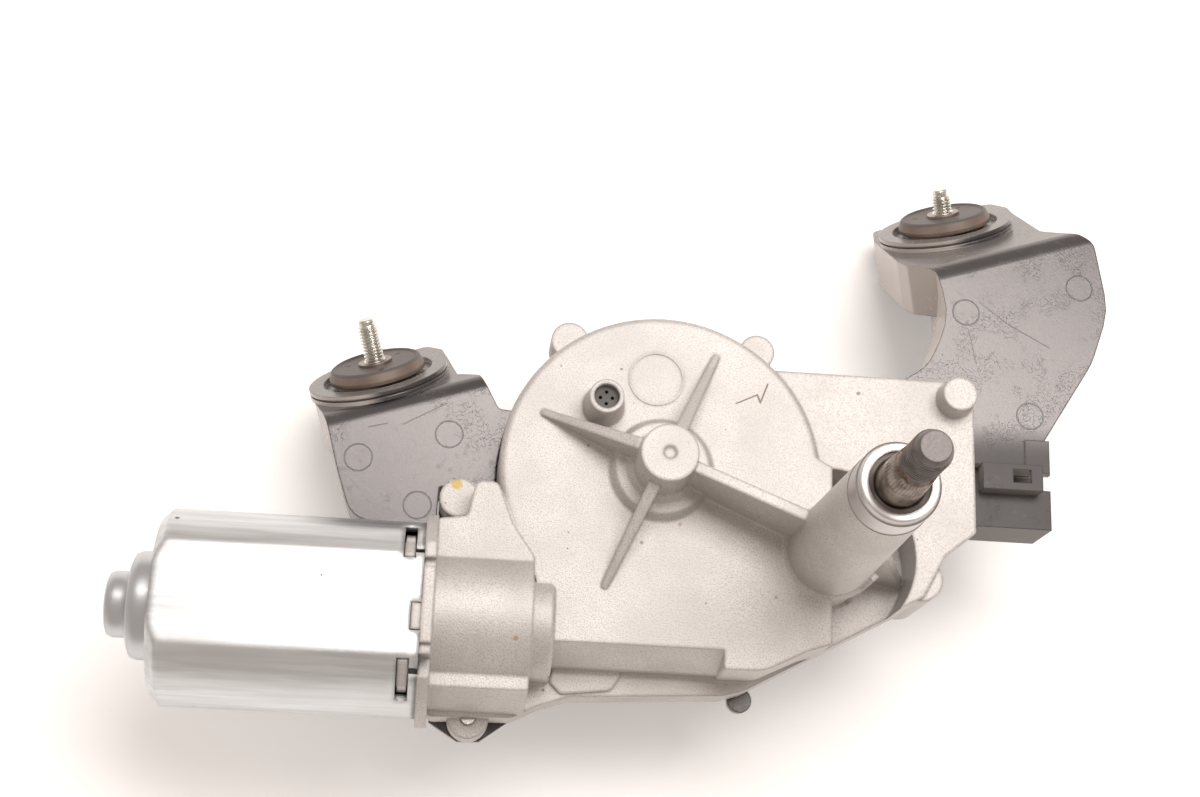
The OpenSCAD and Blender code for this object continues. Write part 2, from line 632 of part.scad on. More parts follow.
module armature_core() color(steel) placed() on_motor_axis(core_x) difference() {
    ring(core_r, motor_shaft_r + rest_gap, core_length);
    for (a = [0 : 36 : 359]) rotate([0, 0, a]) {
        translate([core_r - 6.5, -2, -1]) cube([5.2, 4, core_length + 2]);
        translate([core_r - 2, -0.7, -1]) cube([3, 1.4, core_length + 2]);
    }
}

module armature_windings() color(copper) placed() on_motor_axis(core_x) {
    for (z = [-6.2, core_length + 0.2]) translate([0, 0, z]) rotate_extrude()
        polygon([[motor_shaft_r + 1, 0], [core_r - 4, 0], [core_r - 1.5, 1.6], [core_r - 1.5, 4.4],
            [core_r - 4, 6], [motor_shaft_r + 1, 6]]);
    for (a = [0 : 36 : 359]) rotate([0, 0, a]) translate([core_r - 6.2, -1.7, -0.5])
        cube([4.6, 3.4, core_length + 1]);
}

module commutator() color(copper) placed() on_motor_axis(commutator_x) difference() {
    ring(commutator_r, motor_shaft_r + rest_gap, commutator_l);
    for (a = [0 : 36 : 359]) rotate([0, 0, a]) translate([commutator_r - 1.2, -0.3, -1])
        cube([2, 0.6, commutator_l + 2]);
}

// Worm wheel and crank

module wheel_section() {
    half = 360 / wheel_teeth / 4;
    polygon([for (i = [0 : wheel_teeth - 1]) let (a = 360 * i / wheel_teeth)
        for (p = [[-half * 1.42, -1.25], [-half * 0.42, 0.9], [half * 0.42, 0.9], [half * 1.42, -1.25]])
            (wheel_r + p[1] * gear_module) * [cos(a + p[0]), sin(a + p[0])]]);
}

module worm_wheel() color([0.85, 0.83, 0.76]) placed() {
    lead_angle = atan(gear_module / (2 * worm_pitch_r));
    skew = wheel_w * tan(lead_angle) / wheel_r * 180 / PI;
    difference() {
        union() {
            translate([0, 0, wheel_bottom_z]) rotate([0, 0, -90 - skew / 2]) difference() {
                linear_extrude(wheel_w, twist = -skew, slices = 3) wheel_section();
                for (z = [-1, wheel_w - 2.5]) translate([0, 0, z]) ring(wheel_r - 5, 13, 3.5);
            }
            translate([0, 0, wheel_bottom_z]) cylinder(h = wheel_w + 1.9, r = 10);
        }
        translate([0, 0, wheel_bottom_z - 1]) cylinder(h = wheel_w + 6, r = 5 + rest_gap);
        for (a = [0 : 60 : 359]) rotate([0, 0, a]) translate([22, 0, wheel_bottom_z - 1])
            cylinder(h = wheel_w + 2, r = 4.5);
    }
}

module wheel_bush() color(bronze) placed() translate([0, 0, -case_wall + near_gap])
    ring(bearing_r - rest_gap, 5 + fit_gap, hub_h - 5);

module wheel_shaft() color(steel) placed() {
    translate([0, 0, crank_plate_z]) cylinder(h = crank_plate_t, r = 13);
    translate([0, 0, crank_plate_z]) cylinder(h = hub_h - 6 - crank_plate_z, r = 5);
}

module contact_ring() color(bronze) placed() translate([0, 0, wheel_bottom_z - 0.6]) difference() {
    ring(34, 29, 0.6);
    rotate([0, 0, 200]) translate([31.5, 0, -1]) cube([4, 9, 3]);
}

module contact_springs() color(bronze) placed() for (r = [30, 33])
    rotate([0, 0, 172]) translate([r - 0.8, 0, 0]) rotate([90, 0, 90]) linear_extrude(1.6)
        polygon([[-9, cover_z + 2.4], [-8, cover_z + 2.4], [-7.6, cover_z + 4], [0.4, wheel_bottom_z - 1.6],
            [0, wheel_bottom_z - 0.9], [-0.6, wheel_bottom_z - 1.2], [-9, cover_z + 4.4]]);

// The flat leads in the cover's floor: two to the motor and two to the park contacts
module lead_shapes(d) for (i = [0 : 3]) {
    y = blade_y[i];
    top = i > 1;
    line = top ? [[-36, 12 - 4.6 * (3 - i)], [-12, 15 - 4.6 * (3 - i)], [70, 20 - 4.6 * (3 - i)]]
        : [[-58, -50 - 6 * (1 - i)], [-37, -37 - 5 * (1 - i)], [45 - 6 * (1 - i), -31 - 5 * (1 - i)],
            [79 - 6 * (1 - i), -4 - 3 * (1 - i)]];
    path = concat(line, [[blade_x - 0.1, y]]);
    for (k = [0 : len(path) - 2]) let (run = path[k + 1] - path[k])
        translate(path[k]) rotate(atan2(run.y, run.x)) {
            translate([-d, -lead_w / 2 - d]) square([norm(run) + 2 * d, lead_w + 2 * d]);
            circle(r = lead_w / 2 + 0.2 + d);
        }
}

module lead_frame() color(copper) placed() intersection() {
    slab(lead_z, lead_z + blade_t) lead_shapes(0);
    translate([-100, -100, lead_z]) cube([blade_x + 100 - near_gap, 200, blade_t]);
}

// Sector, guide and pinion: the swinging gear train under the wheel

// One flank-to-flank gear outline of straight-sided teeth, from tooth a to tooth b
module tooth_ring(teeth, m, first, last, back_r, thin) {
    pitch = 360 / teeth;
    r = teeth * m / 2;
    quarter = pitch / 4;
    polygon(concat([back_r * [cos(first * pitch - pitch), sin(first * pitch - pitch)]],
        [for (i = [first : last]) for (p = [[-1.75, -1.15], [-1.0, 0], [-0.42, 0.85], [0.42, 0.85],
                [1.0, 0], [1.75, -1.15]])
            (r + p[1] * m) * [cos(i * pitch + p[0] * (quarter - thin)),
                sin(i * pitch + p[0] * (quarter - thin))]],
        [back_r * [cos(last * pitch + pitch), sin(last * pitch + pitch)]], [[0, 0]]));
}

module guide_link() color(steel) placed() translate([spindle_x, spindle_y, guide_z]) difference() {
    rotate([0, 0, guide_dir]) {
        translate([0, -4.5, 0]) cube([guide_length, 9, guide_t]);
        cylinder(h = guide_t, r = 8.5);
        translate([guide_length, 0, 0]) cylinder(h = guide_t, r = eye_r);
    }
    translate([0, 0, -1]) cylinder(h = guide_t + 2, r = 4 + fit_gap);
    rotate([0, 0, guide_dir]) translate([guide_length, 0, -1])
        cylinder(h = guide_t + 2, r = pin_r - 0.5 + rest_gap);
}

module link_pivot_pin() color(steel) placed() translate([link_pivot.x, link_pivot.y, guide_z]) {
    cylinder(h = guide_t + 0.1, r = pin_r - 0.5);
    translate([0, 0, guide_t + 0.05]) cylinder(h = near_gap + sector_t + 0.2, r = pin_r);
}

module sector_link() color(steel) placed() translate([link_pivot.x, link_pivot.y, sector_z]) difference() {
    linear_extrude(sector_t) {
        circle(r = eye_r + 1.5);
        rotate(guide_dir + 180) tooth_ring(sector_circle_teeth, sector_module, -2, 6, 12, 0.18);
        rotate(link_dir + 180) translate([0, -4.5]) square([link_length, 9]);
        rotate(link_dir + 180) translate([link_length, 0]) circle(r = eye_r);
    }
    translate([0, 0, -1]) cylinder(h = sector_t + 2, r = pin_r + fit_gap);
    rotate([0, 0, link_dir + 180]) translate([link_length, 0, -1])
        cylinder(h = sector_t + 2, r = pin_r + rest_gap);
}

module crank_pin() color(steel) placed() translate([crank_pin_at.x, crank_pin_at.y, sector_z])
    cylinder(h = crank_plate_z - near_gap - sector_z, r = pin_r);

module spindle_pinion() color(steel) placed() on_spindle(sector_z) difference() {
    linear_extrude(sector_t + 0.2) rotate(guide_dir + 180 / pinion_teeth)
        tooth_ring(pinion_teeth, sector_module, 0, pinion_teeth - 1, 1, 0.6);
    translate([0, 0, -1]) cylinder(h = sector_t + 3, r = 4.2 + rest_gap);
}

module wiper_spindle() color([0.33, 0.31, 0.30]) placed() on_spindle() difference() {
    union() {
        translate([0, 0, guide_z - 1.7]) cylinder(h = sector_z - guide_z + 1.8, r = 4);
        translate([0, 0, sector_z]) cylinder(h = sector_t + 0.5, r = 4.2);
        translate([0, 0, sector_z + sector_t + near_gap])
            cylinder(h = barrel_h + 3 - sector_z - sector_t - near_gap, r = shaft_r);
        translate([0, 0, barrel_h + 2.9])
            cylinder(h = spindle_reach - thread_length - 6.4, r1 = shaft_r, r2 = thread_d / 2 + 0.4);
        translate([0, 0, spindle_top_z - thread_length - 3.6]) cylinder(h = 2.2, r = thread_d / 2 - 0.4);
        translate([0, 0, spindle_top_z - thread_length - 1.5])
            cylinder(h = thread_length - 0.2, r = thread_d / 2);
        translate([0, 0, spindle_top_z - 1.8])
            cylinder(h = 1.8, r1 = thread_d / 2 - 0.5, r2 = thread_d / 2 - 1.3);
    }
    translate([0, 0, barrel_h - seal_h - 1.6]) ring(shaft_r + 1, shaft_r - 0.6, 1.1);
    translate([0, 0, guide_z - 1.3]) ring(5, 3.4, 1);
}

module spindle_circlip() color(steel) placed() on_spindle(barrel_h - seal_h - 1.5)
    rotate([0, 0, 40]) rotate_extrude(angle = 310) translate([shaft_r - 0.5, 0]) square([1.6, 0.9]);

module guide_clip() color(steel) placed() on_spindle(guide_z - 1.25)
    rotate([0, 0, 100]) rotate_extrude(angle = 300) translate([3.5, 0]) square([2.8, 0.9]);

module spindle_bush_lower() color(bronze) placed() on_spindle(room_z + near_gap)
    ring(bush_r - rest_gap, shaft_r + fit_gap, lower_bush_h);

module spindle_bush_upper() color(bronze) placed() on_spindle(barrel_h - seal_h - 2 - upper_bush_h)
    ring(bush_r - rest_gap, shaft_r + fit_gap, upper_bush_h);

module spindle_seal() color([0.08, 0.08, 0.08]) placed() on_spindle(barrel_h - seal_h) difference() {
    cylinder(h = seal_h - 0.7, r = bush_r - rest_gap);
    translate([0, 0, -1]) cylinder(h = seal_h + 2, r = shaft_r + fit_gap);
    translate([0, 0, seal_h - 2]) cylinder(h = 2, r1 = shaft_r, r2 = shaft_r + 1);
}

// Rear cover with its arms, gasket and screws

module gasket_line(d) {
    circle(r = case_r - d);
    outline(case_line, d);
    for (i = [0 : len(lugs) - 1]) lug_shape(i, d);
}

module cover_gasket() color([0.1, 0.1, 0.1]) placed() slab(cover_z, joint_z) difference() {
    gasket_line(plate_inset + 0.2);
    difference() {
        gasket_line(case_wall - 0.2);
        for (i = [0 : len(lugs) - 1]) translate(lugs[i]) circle(r = lug_rs[i] - 0.4);
    }
    for (lug = lugs) translate(lug) circle(r = screw_r + 0.4);
}

// The plate under the housing, with two places where it stands out past the casting
module cover_plate() slab(cover_z - cover_wall, cover_z) {
    gasket_line(plate_inset);
    polygon([[-61.3, -69.9], [-52.8, -75], [-46.5, -74.8], [-36.3, -67.2], [-40, -62], [-58, -62]]);
    translate([28.7, -59.2]) circle(r = 3.6);
    intersection() {
        union() {
            outline(left_arm_line);
            outline(right_arm_line);
        }
        gasket_line(-cover_gap - cover_wall);
    }
}

// One arm's outer form, or with d its inside: the face's channel and the tilted head's channel
module arm_form(line, head_line, face_z, seat, depth, d) {
    low = d > 0 ? 1 : 0;
    intersection() {
        slab(face_z - depth - low, face_z - d) outline(line, d);
        on_seat(seat) translate([-90, -160, -160 - d]) cube([180, 320, 160]);
    }
    intersection() {
        on_seat(seat) translate([0, 0, -depth - low]) linear_extrude(depth + low - d)
            outline(head_line, d);
        translate([seat.x - 90, seat.y - 90, face_z - d - 120]) cube([180, 180, 120]);
    }
}

// The wedge that comes off to round the fold between an arm's face and its head
module fold_cut(seat, fold_v) on_seat(seat) translate([-60, 0, 0]) rotate([90, 0, 90]) {
    run = bend_r * fold_slope;
    out = [-sin(stud_tilt), cos(stud_tilt)];
    foot = [fold_v, 0] - run * [cos(stud_tilt), sin(stud_tilt)];
    difference() {
        linear_extrude(120) polygon([[fold_v + run, -bend_r], foot, foot + 4 * out,
            [fold_v - 3, 6], [fold_v + run, 4]]);
        translate([fold_v + run, -bend_r, -1]) cylinder(h = 122, r = bend_r);
    }
}

module arm_shell(line, head_line, face_z, seat, depth, fold_v) difference() {
    arm_form(line, head_line, face_z, seat, depth, 0);
    arm_form(line, head_line, face_z, seat, depth, cover_wall);
    fold_cut(seat, fold_v);
}

module seat_ring(seat) on_seat(seat) {
    translate([0, 0, -0.1]) cylinder(h = 0.1 + seat_t * 0.4, r = seat_r);
    cylinder(h = seat_t, r = seat_r - 1);
    translate([0, 0, seat_t * 0.6]) cylinder(h = seat_t * 0.4, r = seat_r);
    translate([0, 0, -cover_wall]) cylinder(h = cover_wall, r = waist_r + 4);
}

// The wall that carries an arm down from its face to the cover plate
module arm_riser(line, face_z) slab(cover_z - cover_wall, face_z - 0.1) intersection() {
    outline(line);
    difference() {
        union() {
            outline(case_line, -cover_gap - cover_wall);
            circle(r = case_r + cover_gap + cover_wall);
        }
        outline(case_line, -cover_gap);
        circle(r = case_r + cover_gap);
    }
}

module shroud() {
    translate([shroud_x, shroud_y, shroud_top_z - shroud_h]) cube([shroud_l, shroud_w, shroud_h]);
    translate([latch[0].x, latch[0].y, shroud_top_z - 0.1])
        cube([latch[1].x - latch[0].x, latch[1].y - latch[0].y, latch_h + 0.1]);
    translate([108.4, 8, shroud_top_z - 2]) cube([7.2, 10, 6.8]);
    slab(cover_z - cover_wall, shroud_top_z - 1) polygon([[84, -8], [95, -8], [95, 16], [84, 16]]);
}

module shroud_cuts() {
    slab(lead_z - rest_gap, cover_z + 0.1) lead_shapes(rest_gap);
    terminal_shapes(rest_gap);
    translate([shroud_x + 5, shroud_y + shroud_wall, shroud_top_z - shroud_h + shroud_wall])
        cube([shroud_l, shroud_w - 2 * shroud_wall, shroud_h - 2 * shroud_wall]);
    translate([latch[0].x + 4, latch[0].y + 1.6, shroud_top_z - 4])
        cube([30, latch[1].y - latch[0].y - 3.2, 4 + latch_h - 1.6]);
    translate([104.5, 4.8, shroud_top_z - 1]) cube([5.5, 4, latch_h + 2]);
}

module rear_cover() color(black_plastic) placed() difference() {
    union() {
        cover_plate();
        arm_shell(left_arm_line, left_head_line, left_face_z, left_seat, left_wall_depth, left_fold_v);
        arm_shell(right_arm_line, right_head_line, right_face_z, right_seat, right_wall_depth,
            right_fold_v);
        arm_riser(left_arm_line, left_face_z);
        arm_riser(right_arm_line, right_face_z);
        seat_ring(left_seat);
        seat_ring(right_seat);
        shroud();
    }
    shroud_cuts();
    slab(cover_z, 5) gasket_line(-cover_gap);
    on_motor_axis(can_end_x - 20) cylinder(h = can_length + 26, r = flange_r + 0.5);
    for (seat = [left_seat, right_seat]) on_seat(seat) {
        translate([0, 0, -20]) cylinder(h = 40, r = waist_r + rest_gap);
        translate([0, 0, seat_t - recess_depth]) ring(grommet_r + recess_room, waist_r + 4, seat_t);
    }
    for (lug = lugs) translate([lug.x, lug.y, cover_z - cover_wall - 1])
        cylinder(h = cover_wall + 3, r = screw_r + 0.3);
}

module cover_screws() color(zinc) placed() for (lug = lugs)
    translate([lug.x, lug.y, cover_z - cover_wall]) {
        cylinder(h = screw_l - 1, r = screw_r);
        translate([0, 0, -2.6]) difference() {
            cylinder(h = 2.6 - rest_gap, r = 3.8);
            translate([0, 0, -1]) cylinder(h = 2.2, r = 1.6, $fn = 6);
        }
    }

// Rubber mounts

module grommet(seat) on_seat(seat) rotate_extrude() polygon([[sleeve_r + rest_gap, seat_t + grommet_t - 0.6],
    [sleeve_r + rest_gap, -cover_wall - grommet_low_t], [waist_r + 3, -cover_wall - grommet_low_t],
    [waist_r + 3.4, -cover_wall - rest_gap], [waist_r, -cover_wall - rest_gap],
    [waist_r, seat_t + rest_gap], [grommet_r, seat_t + rest_gap], [grommet_r + 0.1, seat_t + 1.2],
    [grommet_r - 0.9, seat_t + grommet_t - 0.4], [grommet_r - 1.6, seat_t + grommet_t],
    [grommet_r - 2.4, seat_t + grommet_t - 0.6]]);
module grommet_left() color(rubber_brown) placed() grommet(left_seat);
module grommet_right() color(rubber_brown) placed() grommet(right_seat);

module sleeve(seat) on_seat(seat) translate([0, 0, -cover_wall - grommet_low_t])
    ring(sleeve_r, shank_r + rest_gap, seat_t + grommet_t + cover_wall + grommet_low_t + 0.3);
module sleeve_left() color(zinc) placed() sleeve(left_seat);
module sleeve_right() color(zinc) placed() sleeve(right_seat);

module stud(seat, reach) on_seat(seat) {
    low = -cover_wall - grommet_low_t;
    thread_foot = seat_t + grommet_t + 0.5;
    translate([0, 0, low - 3]) cylinder(h = 3, r = 7.5);
    translate([0, 0, low - 0.1]) cylinder(h = thread_foot - low + 0.1, r = shank_r);
    translate([0, 0, low]) cylinder(h = reach - 3.4 - low, r = stud_d / 2);
    translate([0, 0, reach - 3.4]) cylinder(h = 0.9, r1 = stud_d / 2, r2 = stud_d / 2 - 0.8);
    translate([0, 0, reach - 3]) cylinder(h = 3, r = stud_d / 2 - 0.9);
}
module stud_left() color(zinc) placed() stud(left_seat, left_stud_reach);
module stud_right() color(zinc) placed() stud(right_seat, right_stud_reach);

// The bent blades: up through the shroud's back wall, then out along its cavity
module terminal_shapes(d) for (y = blade_y) {
    translate([blade_x - d, y - blade_w / 2 - d, lead_z - d])
        cube([blade_t + 2 * d, blade_w + 2 * d, blade_z + blade_t / 2 - lead_z + 2 * d]);
    translate([blade_x - d, y - blade_w / 2 - d, blade_z - blade_t / 2 - d])
        cube([20, blade_w + 2 * d, blade_t + 2 * d]);
}

module connector_terminals() color(zinc) placed() terminal_shapes(0);

gear_housing();
motor_can();
rear_cover();
cover_gasket();
cover_screws();
breather_plug();
field_magnets();
rear_bearing();
bearing_clip();
brush_holder();
carbon_brushes();
brush_springs();
choke_coils();
middle_bush();
tip_bush();
thrust_ball();
wheel_bush();
armature_shaft();
armature_core();
armature_windings();
commutator();
worm_wheel();
wheel_shaft();
contact_ring();
contact_springs();
lead_frame();
connector_terminals();
spindle_bush_lower();
spindle_bush_upper();
spindle_seal();
wiper_spindle();
spindle_pinion();
spindle_circlip();
guide_clip();
guide_link();
link_pivot_pin();
sector_link();
crank_pin();
grommet_left();
grommet_right();
sleeve_left();
sleeve_right();
stud_left();
stud_right();
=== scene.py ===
# %% [markdown]
# A rear wiper motor lies on a pale table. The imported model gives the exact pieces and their
# places. This lesson gives them their finishes, turns the threaded parts anew in finer detail,
# and sets the light and the camera.

# %% Load the frame
import bpy
import bmesh
import math
from mathutils import Matrix, Vector


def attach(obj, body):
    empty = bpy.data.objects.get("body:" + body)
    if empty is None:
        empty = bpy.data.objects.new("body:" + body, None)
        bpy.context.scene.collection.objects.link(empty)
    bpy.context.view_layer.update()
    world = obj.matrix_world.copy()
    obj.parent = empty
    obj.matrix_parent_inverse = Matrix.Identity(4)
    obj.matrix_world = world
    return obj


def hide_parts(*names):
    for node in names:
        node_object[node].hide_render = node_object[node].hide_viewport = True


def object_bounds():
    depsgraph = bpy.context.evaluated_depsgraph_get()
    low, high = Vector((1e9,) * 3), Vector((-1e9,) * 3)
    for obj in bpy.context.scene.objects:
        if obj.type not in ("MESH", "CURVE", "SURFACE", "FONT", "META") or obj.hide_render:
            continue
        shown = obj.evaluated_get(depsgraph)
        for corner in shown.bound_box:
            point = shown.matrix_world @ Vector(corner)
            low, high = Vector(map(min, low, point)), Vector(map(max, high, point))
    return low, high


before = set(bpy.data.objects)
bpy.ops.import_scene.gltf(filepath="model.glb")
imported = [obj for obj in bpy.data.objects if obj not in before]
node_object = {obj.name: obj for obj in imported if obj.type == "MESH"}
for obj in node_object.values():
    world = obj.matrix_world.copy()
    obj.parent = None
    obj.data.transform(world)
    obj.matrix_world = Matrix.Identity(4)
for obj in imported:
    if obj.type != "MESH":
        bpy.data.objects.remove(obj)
cad_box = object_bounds()

# %% [markdown]
# All sizes were measured about the worm wheel's axis, so one helper turns millimetres there
# into metres in the part's own frame, which starts at the foot of the barrel's collar. The two
# stud seats are tilted, so each has a matrix that turns its own millimetres into the frame.

# %% From millimetres to the part's frame
MM_PER_M = 1000.0
SPINDLE = Vector((48.7, -21.0, 69.5))
SPINDLE_TIP = (48.7, -21.0, 112.5)
LEFT_SEAT = (-82.4, 31.9, -36.8)
RIGHT_SEAT = (94.8, 95.2, -39.8)
SEAT_TURN = 18  # degrees about Z
SEAT_TILT = -58  # degrees about X


def at_mm(x, y, z):
    return (Vector((x, y, z)) - SPINDLE) / MM_PER_M


def from_mm():
    return Matrix.Scale(1 / MM_PER_M, 4)


def seat_matrix(seat):
    turn = Matrix.Rotation(math.radians(SEAT_TURN), 4, "Z")
    tilt = Matrix.Rotation(math.radians(SEAT_TILT), 4, "X")
    return Matrix.Translation(at_mm(*seat)) @ turn @ tilt @ from_mm()


print("spindle tip", at_mm(*SPINDLE_TIP))

# %% [markdown]
# The camera stands where the photograph was taken from. Its three axes came from circles and
# edges of the casting whose form is known, and its lens from how fast they shrink with depth.

# %% Camera
LENS_MM = 56.16
SENSOR_MM = 36.0
FARTHEST_M = 20.0
CAMERA_PLACE = (-61.0, -138.1, 509.6)
CAMERA_RIGHT = (0.9948, 0.0376, 0.0951)
CAMERA_BACK = (-0.0798, -0.2955, 0.952)

camera_data = bpy.data.cameras.new("photo_camera")
camera_data.lens = LENS_MM
camera_data.sensor_width = SENSOR_MM
camera_data.sensor_fit = "HORIZONTAL"
camera_data.clip_end = FARTHEST_M
camera = bpy.data.objects.new("photo_camera", camera_data)
right = Vector(CAMERA_RIGHT).normalized()
back = Vector(CAMERA_BACK).normalized()
up = back.cross(right).normalized()
right = up.cross(back)
turned = Matrix((right, up, back)).transposed().to_4x4()
camera.matrix_world = Matrix.Translation(at_mm(*CAMERA_PLACE)) @ turned
bpy.context.scene.collection.objects.link(camera)
bpy.context.scene.camera = camera
print("camera at", tuple(round(v, 4) for v in camera.location))

# %% [markdown]
# A finish is a small tree of shader nodes. Wiring each node by hand would hide the idea behind
# the wiring, so a few helpers add a calculation, a soft step, a noise or a mix in one line. A
# soft step whose first limit is the larger one falls instead of rising.

# %% Node helpers
def feed(tree, value, socket):
    if isinstance(value, bpy.types.NodeSocket):
        tree.links.new(value, socket)
    else:
        socket.default_value = value


def calc(tree, operation, *values):
    step = tree.nodes.new("ShaderNodeMath")
    step.operation = operation
    for value, socket in zip(values, step.inputs):
        feed(tree, value, socket)
    return step.outputs[0]


def vector(tree, operation, *values):
    step = tree.nodes.new("ShaderNodeVectorMath")
    step.operation = operation
    for value, socket in zip(values, step.inputs):
        feed(tree, value, socket)
    measures = operation in ("LENGTH", "DISTANCE", "DOT_PRODUCT")
    return step.outputs["Value" if measures else "Vector"]


def between(tree, value, low, high):
    ramp = tree.nodes.new("ShaderNodeMapRange")
    ramp.interpolation_type = "SMOOTHSTEP"
    for given, label in ((value, "Value"), (low, "From Min"), (high, "From Max")):
        feed(tree, given, ramp.inputs[label])
    return ramp.outputs["Result"]


def fade(tree, mask, plain, marked):
    mix = tree.nodes.new("ShaderNodeMix")
    sockets = (mix.inputs[0], mix.inputs[2], mix.inputs[3])
    for given, socket in zip((mask, plain, marked), sockets):
        feed(tree, given, socket)
    return mix.outputs[0]


def tint(tree, mask, plain, marked):
    mix = tree.nodes.new("ShaderNodeMix")
    mix.data_type = "RGBA"
    feed(tree, mask, mix.inputs[0])
    for given, socket in ((plain, mix.inputs[6]), (marked, mix.inputs[7])):
        feed(tree, (*given, 1) if isinstance(given, tuple) else given, socket)
    return mix.outputs[2]


def place_of(tree):
    return tree.nodes.new("ShaderNodeTexCoord").outputs["Object"]


def axes_of(tree, place):
    split = tree.nodes.new("ShaderNodeSeparateXYZ")
    feed(tree, place, split.inputs[0])
    return split.outputs


def noise(tree, place, scale, detail=3.0):
    made = tree.nodes.new("ShaderNodeTexNoise")
    feed(tree, place, made.inputs["Vector"])
    feed(tree, scale, made.inputs["Scale"])
    made.inputs["Detail"].default_value = detail
    return made.outputs["Fac"]


def relief(tree, height, depth, normal):
    bump = tree.nodes.new("ShaderNodeBump")
    bump.inputs["Distance"].default_value = depth
    feed(tree, height, bump.inputs["Height"])
    feed(tree, normal, bump.inputs["Normal"])
    return bump.outputs["Normal"]


print("helpers ready")

# %% [markdown]
# Marks that many finishes share are node groups: a group is wired once and used often. Each
# gives only a mask, a value or a normal, and the finish decides what colour or depth it makes.
# Pits are cells of a Voronoi pattern whose random number is high: the higher, the wider the pit.

# %% Start a group, use a group
def start_group(name, inputs, outputs):
    group = bpy.data.node_groups.new(name, "ShaderNodeTree")
    for label, kind in inputs:
        group.interface.new_socket(label, in_out="INPUT", socket_type="NodeSocket" + kind)
    for label, kind in outputs:
        group.interface.new_socket(label, in_out="OUTPUT", socket_type="NodeSocket" + kind)
    given = group.nodes.new("NodeGroupInput").outputs
    return group, given, group.nodes.new("NodeGroupOutput").inputs


def use(tree, group, **values):
    made = tree.nodes.new("ShaderNodeGroup")
    made.node_tree = group
    for label, value in values.items():
        feed(tree, value, made.inputs[label])
    return made.outputs


# %% Mottle, grain and pits
PIT_CHANCE = 0.72
PIT_GROWTH = 0.5
PIT_LEAST = 0.001
PIT_CORE = 0.3

skin_marks, given, out = start_group(
    "skin_marks",
    [("Broad", "Float"), ("Fine", "Float"), ("Sparse", "Float")],
    [("Mottle", "Float"), ("Grain", "Float"), ("Pits", "Float")],
)
place = place_of(skin_marks)
feed(skin_marks, noise(skin_marks, place, given["Broad"], detail=4.0), out["Mottle"])
feed(skin_marks, noise(skin_marks, place, given["Fine"], detail=2.0), out["Grain"])
cells = skin_marks.nodes.new("ShaderNodeTexVoronoi")
feed(skin_marks, place, cells.inputs["Vector"])
feed(skin_marks, given["Sparse"], cells.inputs["Scale"])
chance = axes_of(skin_marks, cells.outputs["Color"])[0]
above = calc(skin_marks, "SUBTRACT", chance, PIT_CHANCE)
reach = calc(skin_marks, "MULTIPLY", above, PIT_GROWTH)
reach = calc(skin_marks, "MAXIMUM", reach, PIT_LEAST)
core = calc(skin_marks, "MULTIPLY", reach, PIT_CORE)
feed(skin_marks, between(skin_marks, cells.outputs["Distance"], reach, core), out["Pits"])
print(skin_marks.name, "gives", [socket.name for socket in out if socket.name])

# %% [markdown]
# The model's edges are sharp, while cast, pressed and moulded edges are round and catch light.
# Bevelling so many small faces would tear them, so the Bevel node bends the normals instead,
# and where they bend most is the edge, which is also where a finish wears first.

# %% Round edges
BEVEL_SAMPLES = 6
STILL_FLAT = 0.99
FULLY_BENT = 0.86

round_edges, given, out = start_group(
    "round_edges", [("Radius", "Float")], [("Normal", "Vector"), ("Edge", "Float")]
)
bevel = round_edges.nodes.new("ShaderNodeBevel")
bevel.samples = BEVEL_SAMPLES
feed(round_edges, given["Radius"], bevel.inputs["Radius"])
plain_normal = round_edges.nodes.new("ShaderNodeNewGeometry").outputs["Normal"]
alike = vector(round_edges, "DOT_PRODUCT", bevel.outputs["Normal"], plain_normal)
feed(round_edges, bevel.outputs["Normal"], out["Normal"])
feed(round_edges, between(round_edges, alike, STILL_FLAT, FULLY_BENT), out["Edge"])
print(round_edges.name, "samples", bevel.samples)

# %% [markdown]
# Stains, scratches and the rings that ejector pins leave sit at known places. Three groups
# measure how far a point of the surface is from a spot, a circle or a line.

# %% Spots, rings and scratches
RAGGED_SCALE = 700.0
SPOT_CORE = 0.6
LINE_CORE = 0.4
RING_LINE = (0.00022, 0.00008)  # where its line ends and where it is full
RING_DEPTH = (0.001, 0.0008)  # the same off its face, so that it marks one face only

spot_mark, given, out = start_group(
    "spot_mark", [("Place", "Vector"), ("Size", "Float")], [("Mask", "Float")]
)
place = place_of(spot_mark)
ragged = calc(spot_mark, "SUBTRACT", noise(spot_mark, place, RAGGED_SCALE), 0.5)
ragged = calc(spot_mark, "MULTIPLY", ragged, given["Size"])
far = calc(spot_mark, "ADD", vector(spot_mark, "DISTANCE", place, given["Place"]), ragged)
rim = calc(spot_mark, "MULTIPLY", given["Size"], SPOT_CORE)
feed(spot_mark, between(spot_mark, far, given["Size"], rim), out["Mask"])

ring_mark, given, out = start_group(
    "ring_mark", [("Place", "Vector"), ("Size", "Float")], [("Mask", "Float")]
)
offset = vector(ring_mark, "SUBTRACT", place_of(ring_mark), given["Place"])
flat = vector(ring_mark, "MULTIPLY", offset, (1.0, 1.0, 0.0))
off_line = calc(ring_mark, "ABSOLUTE",
                calc(ring_mark, "SUBTRACT", vector(ring_mark, "LENGTH", flat), given["Size"]))
off_face = calc(ring_mark, "ABSOLUTE", axes_of(ring_mark, offset)[2])
on_line = between(ring_mark, off_line, *RING_LINE)
on_face = between(ring_mark, off_face, *RING_DEPTH)
feed(ring_mark, calc(ring_mark, "MULTIPLY", on_line, on_face), out["Mask"])

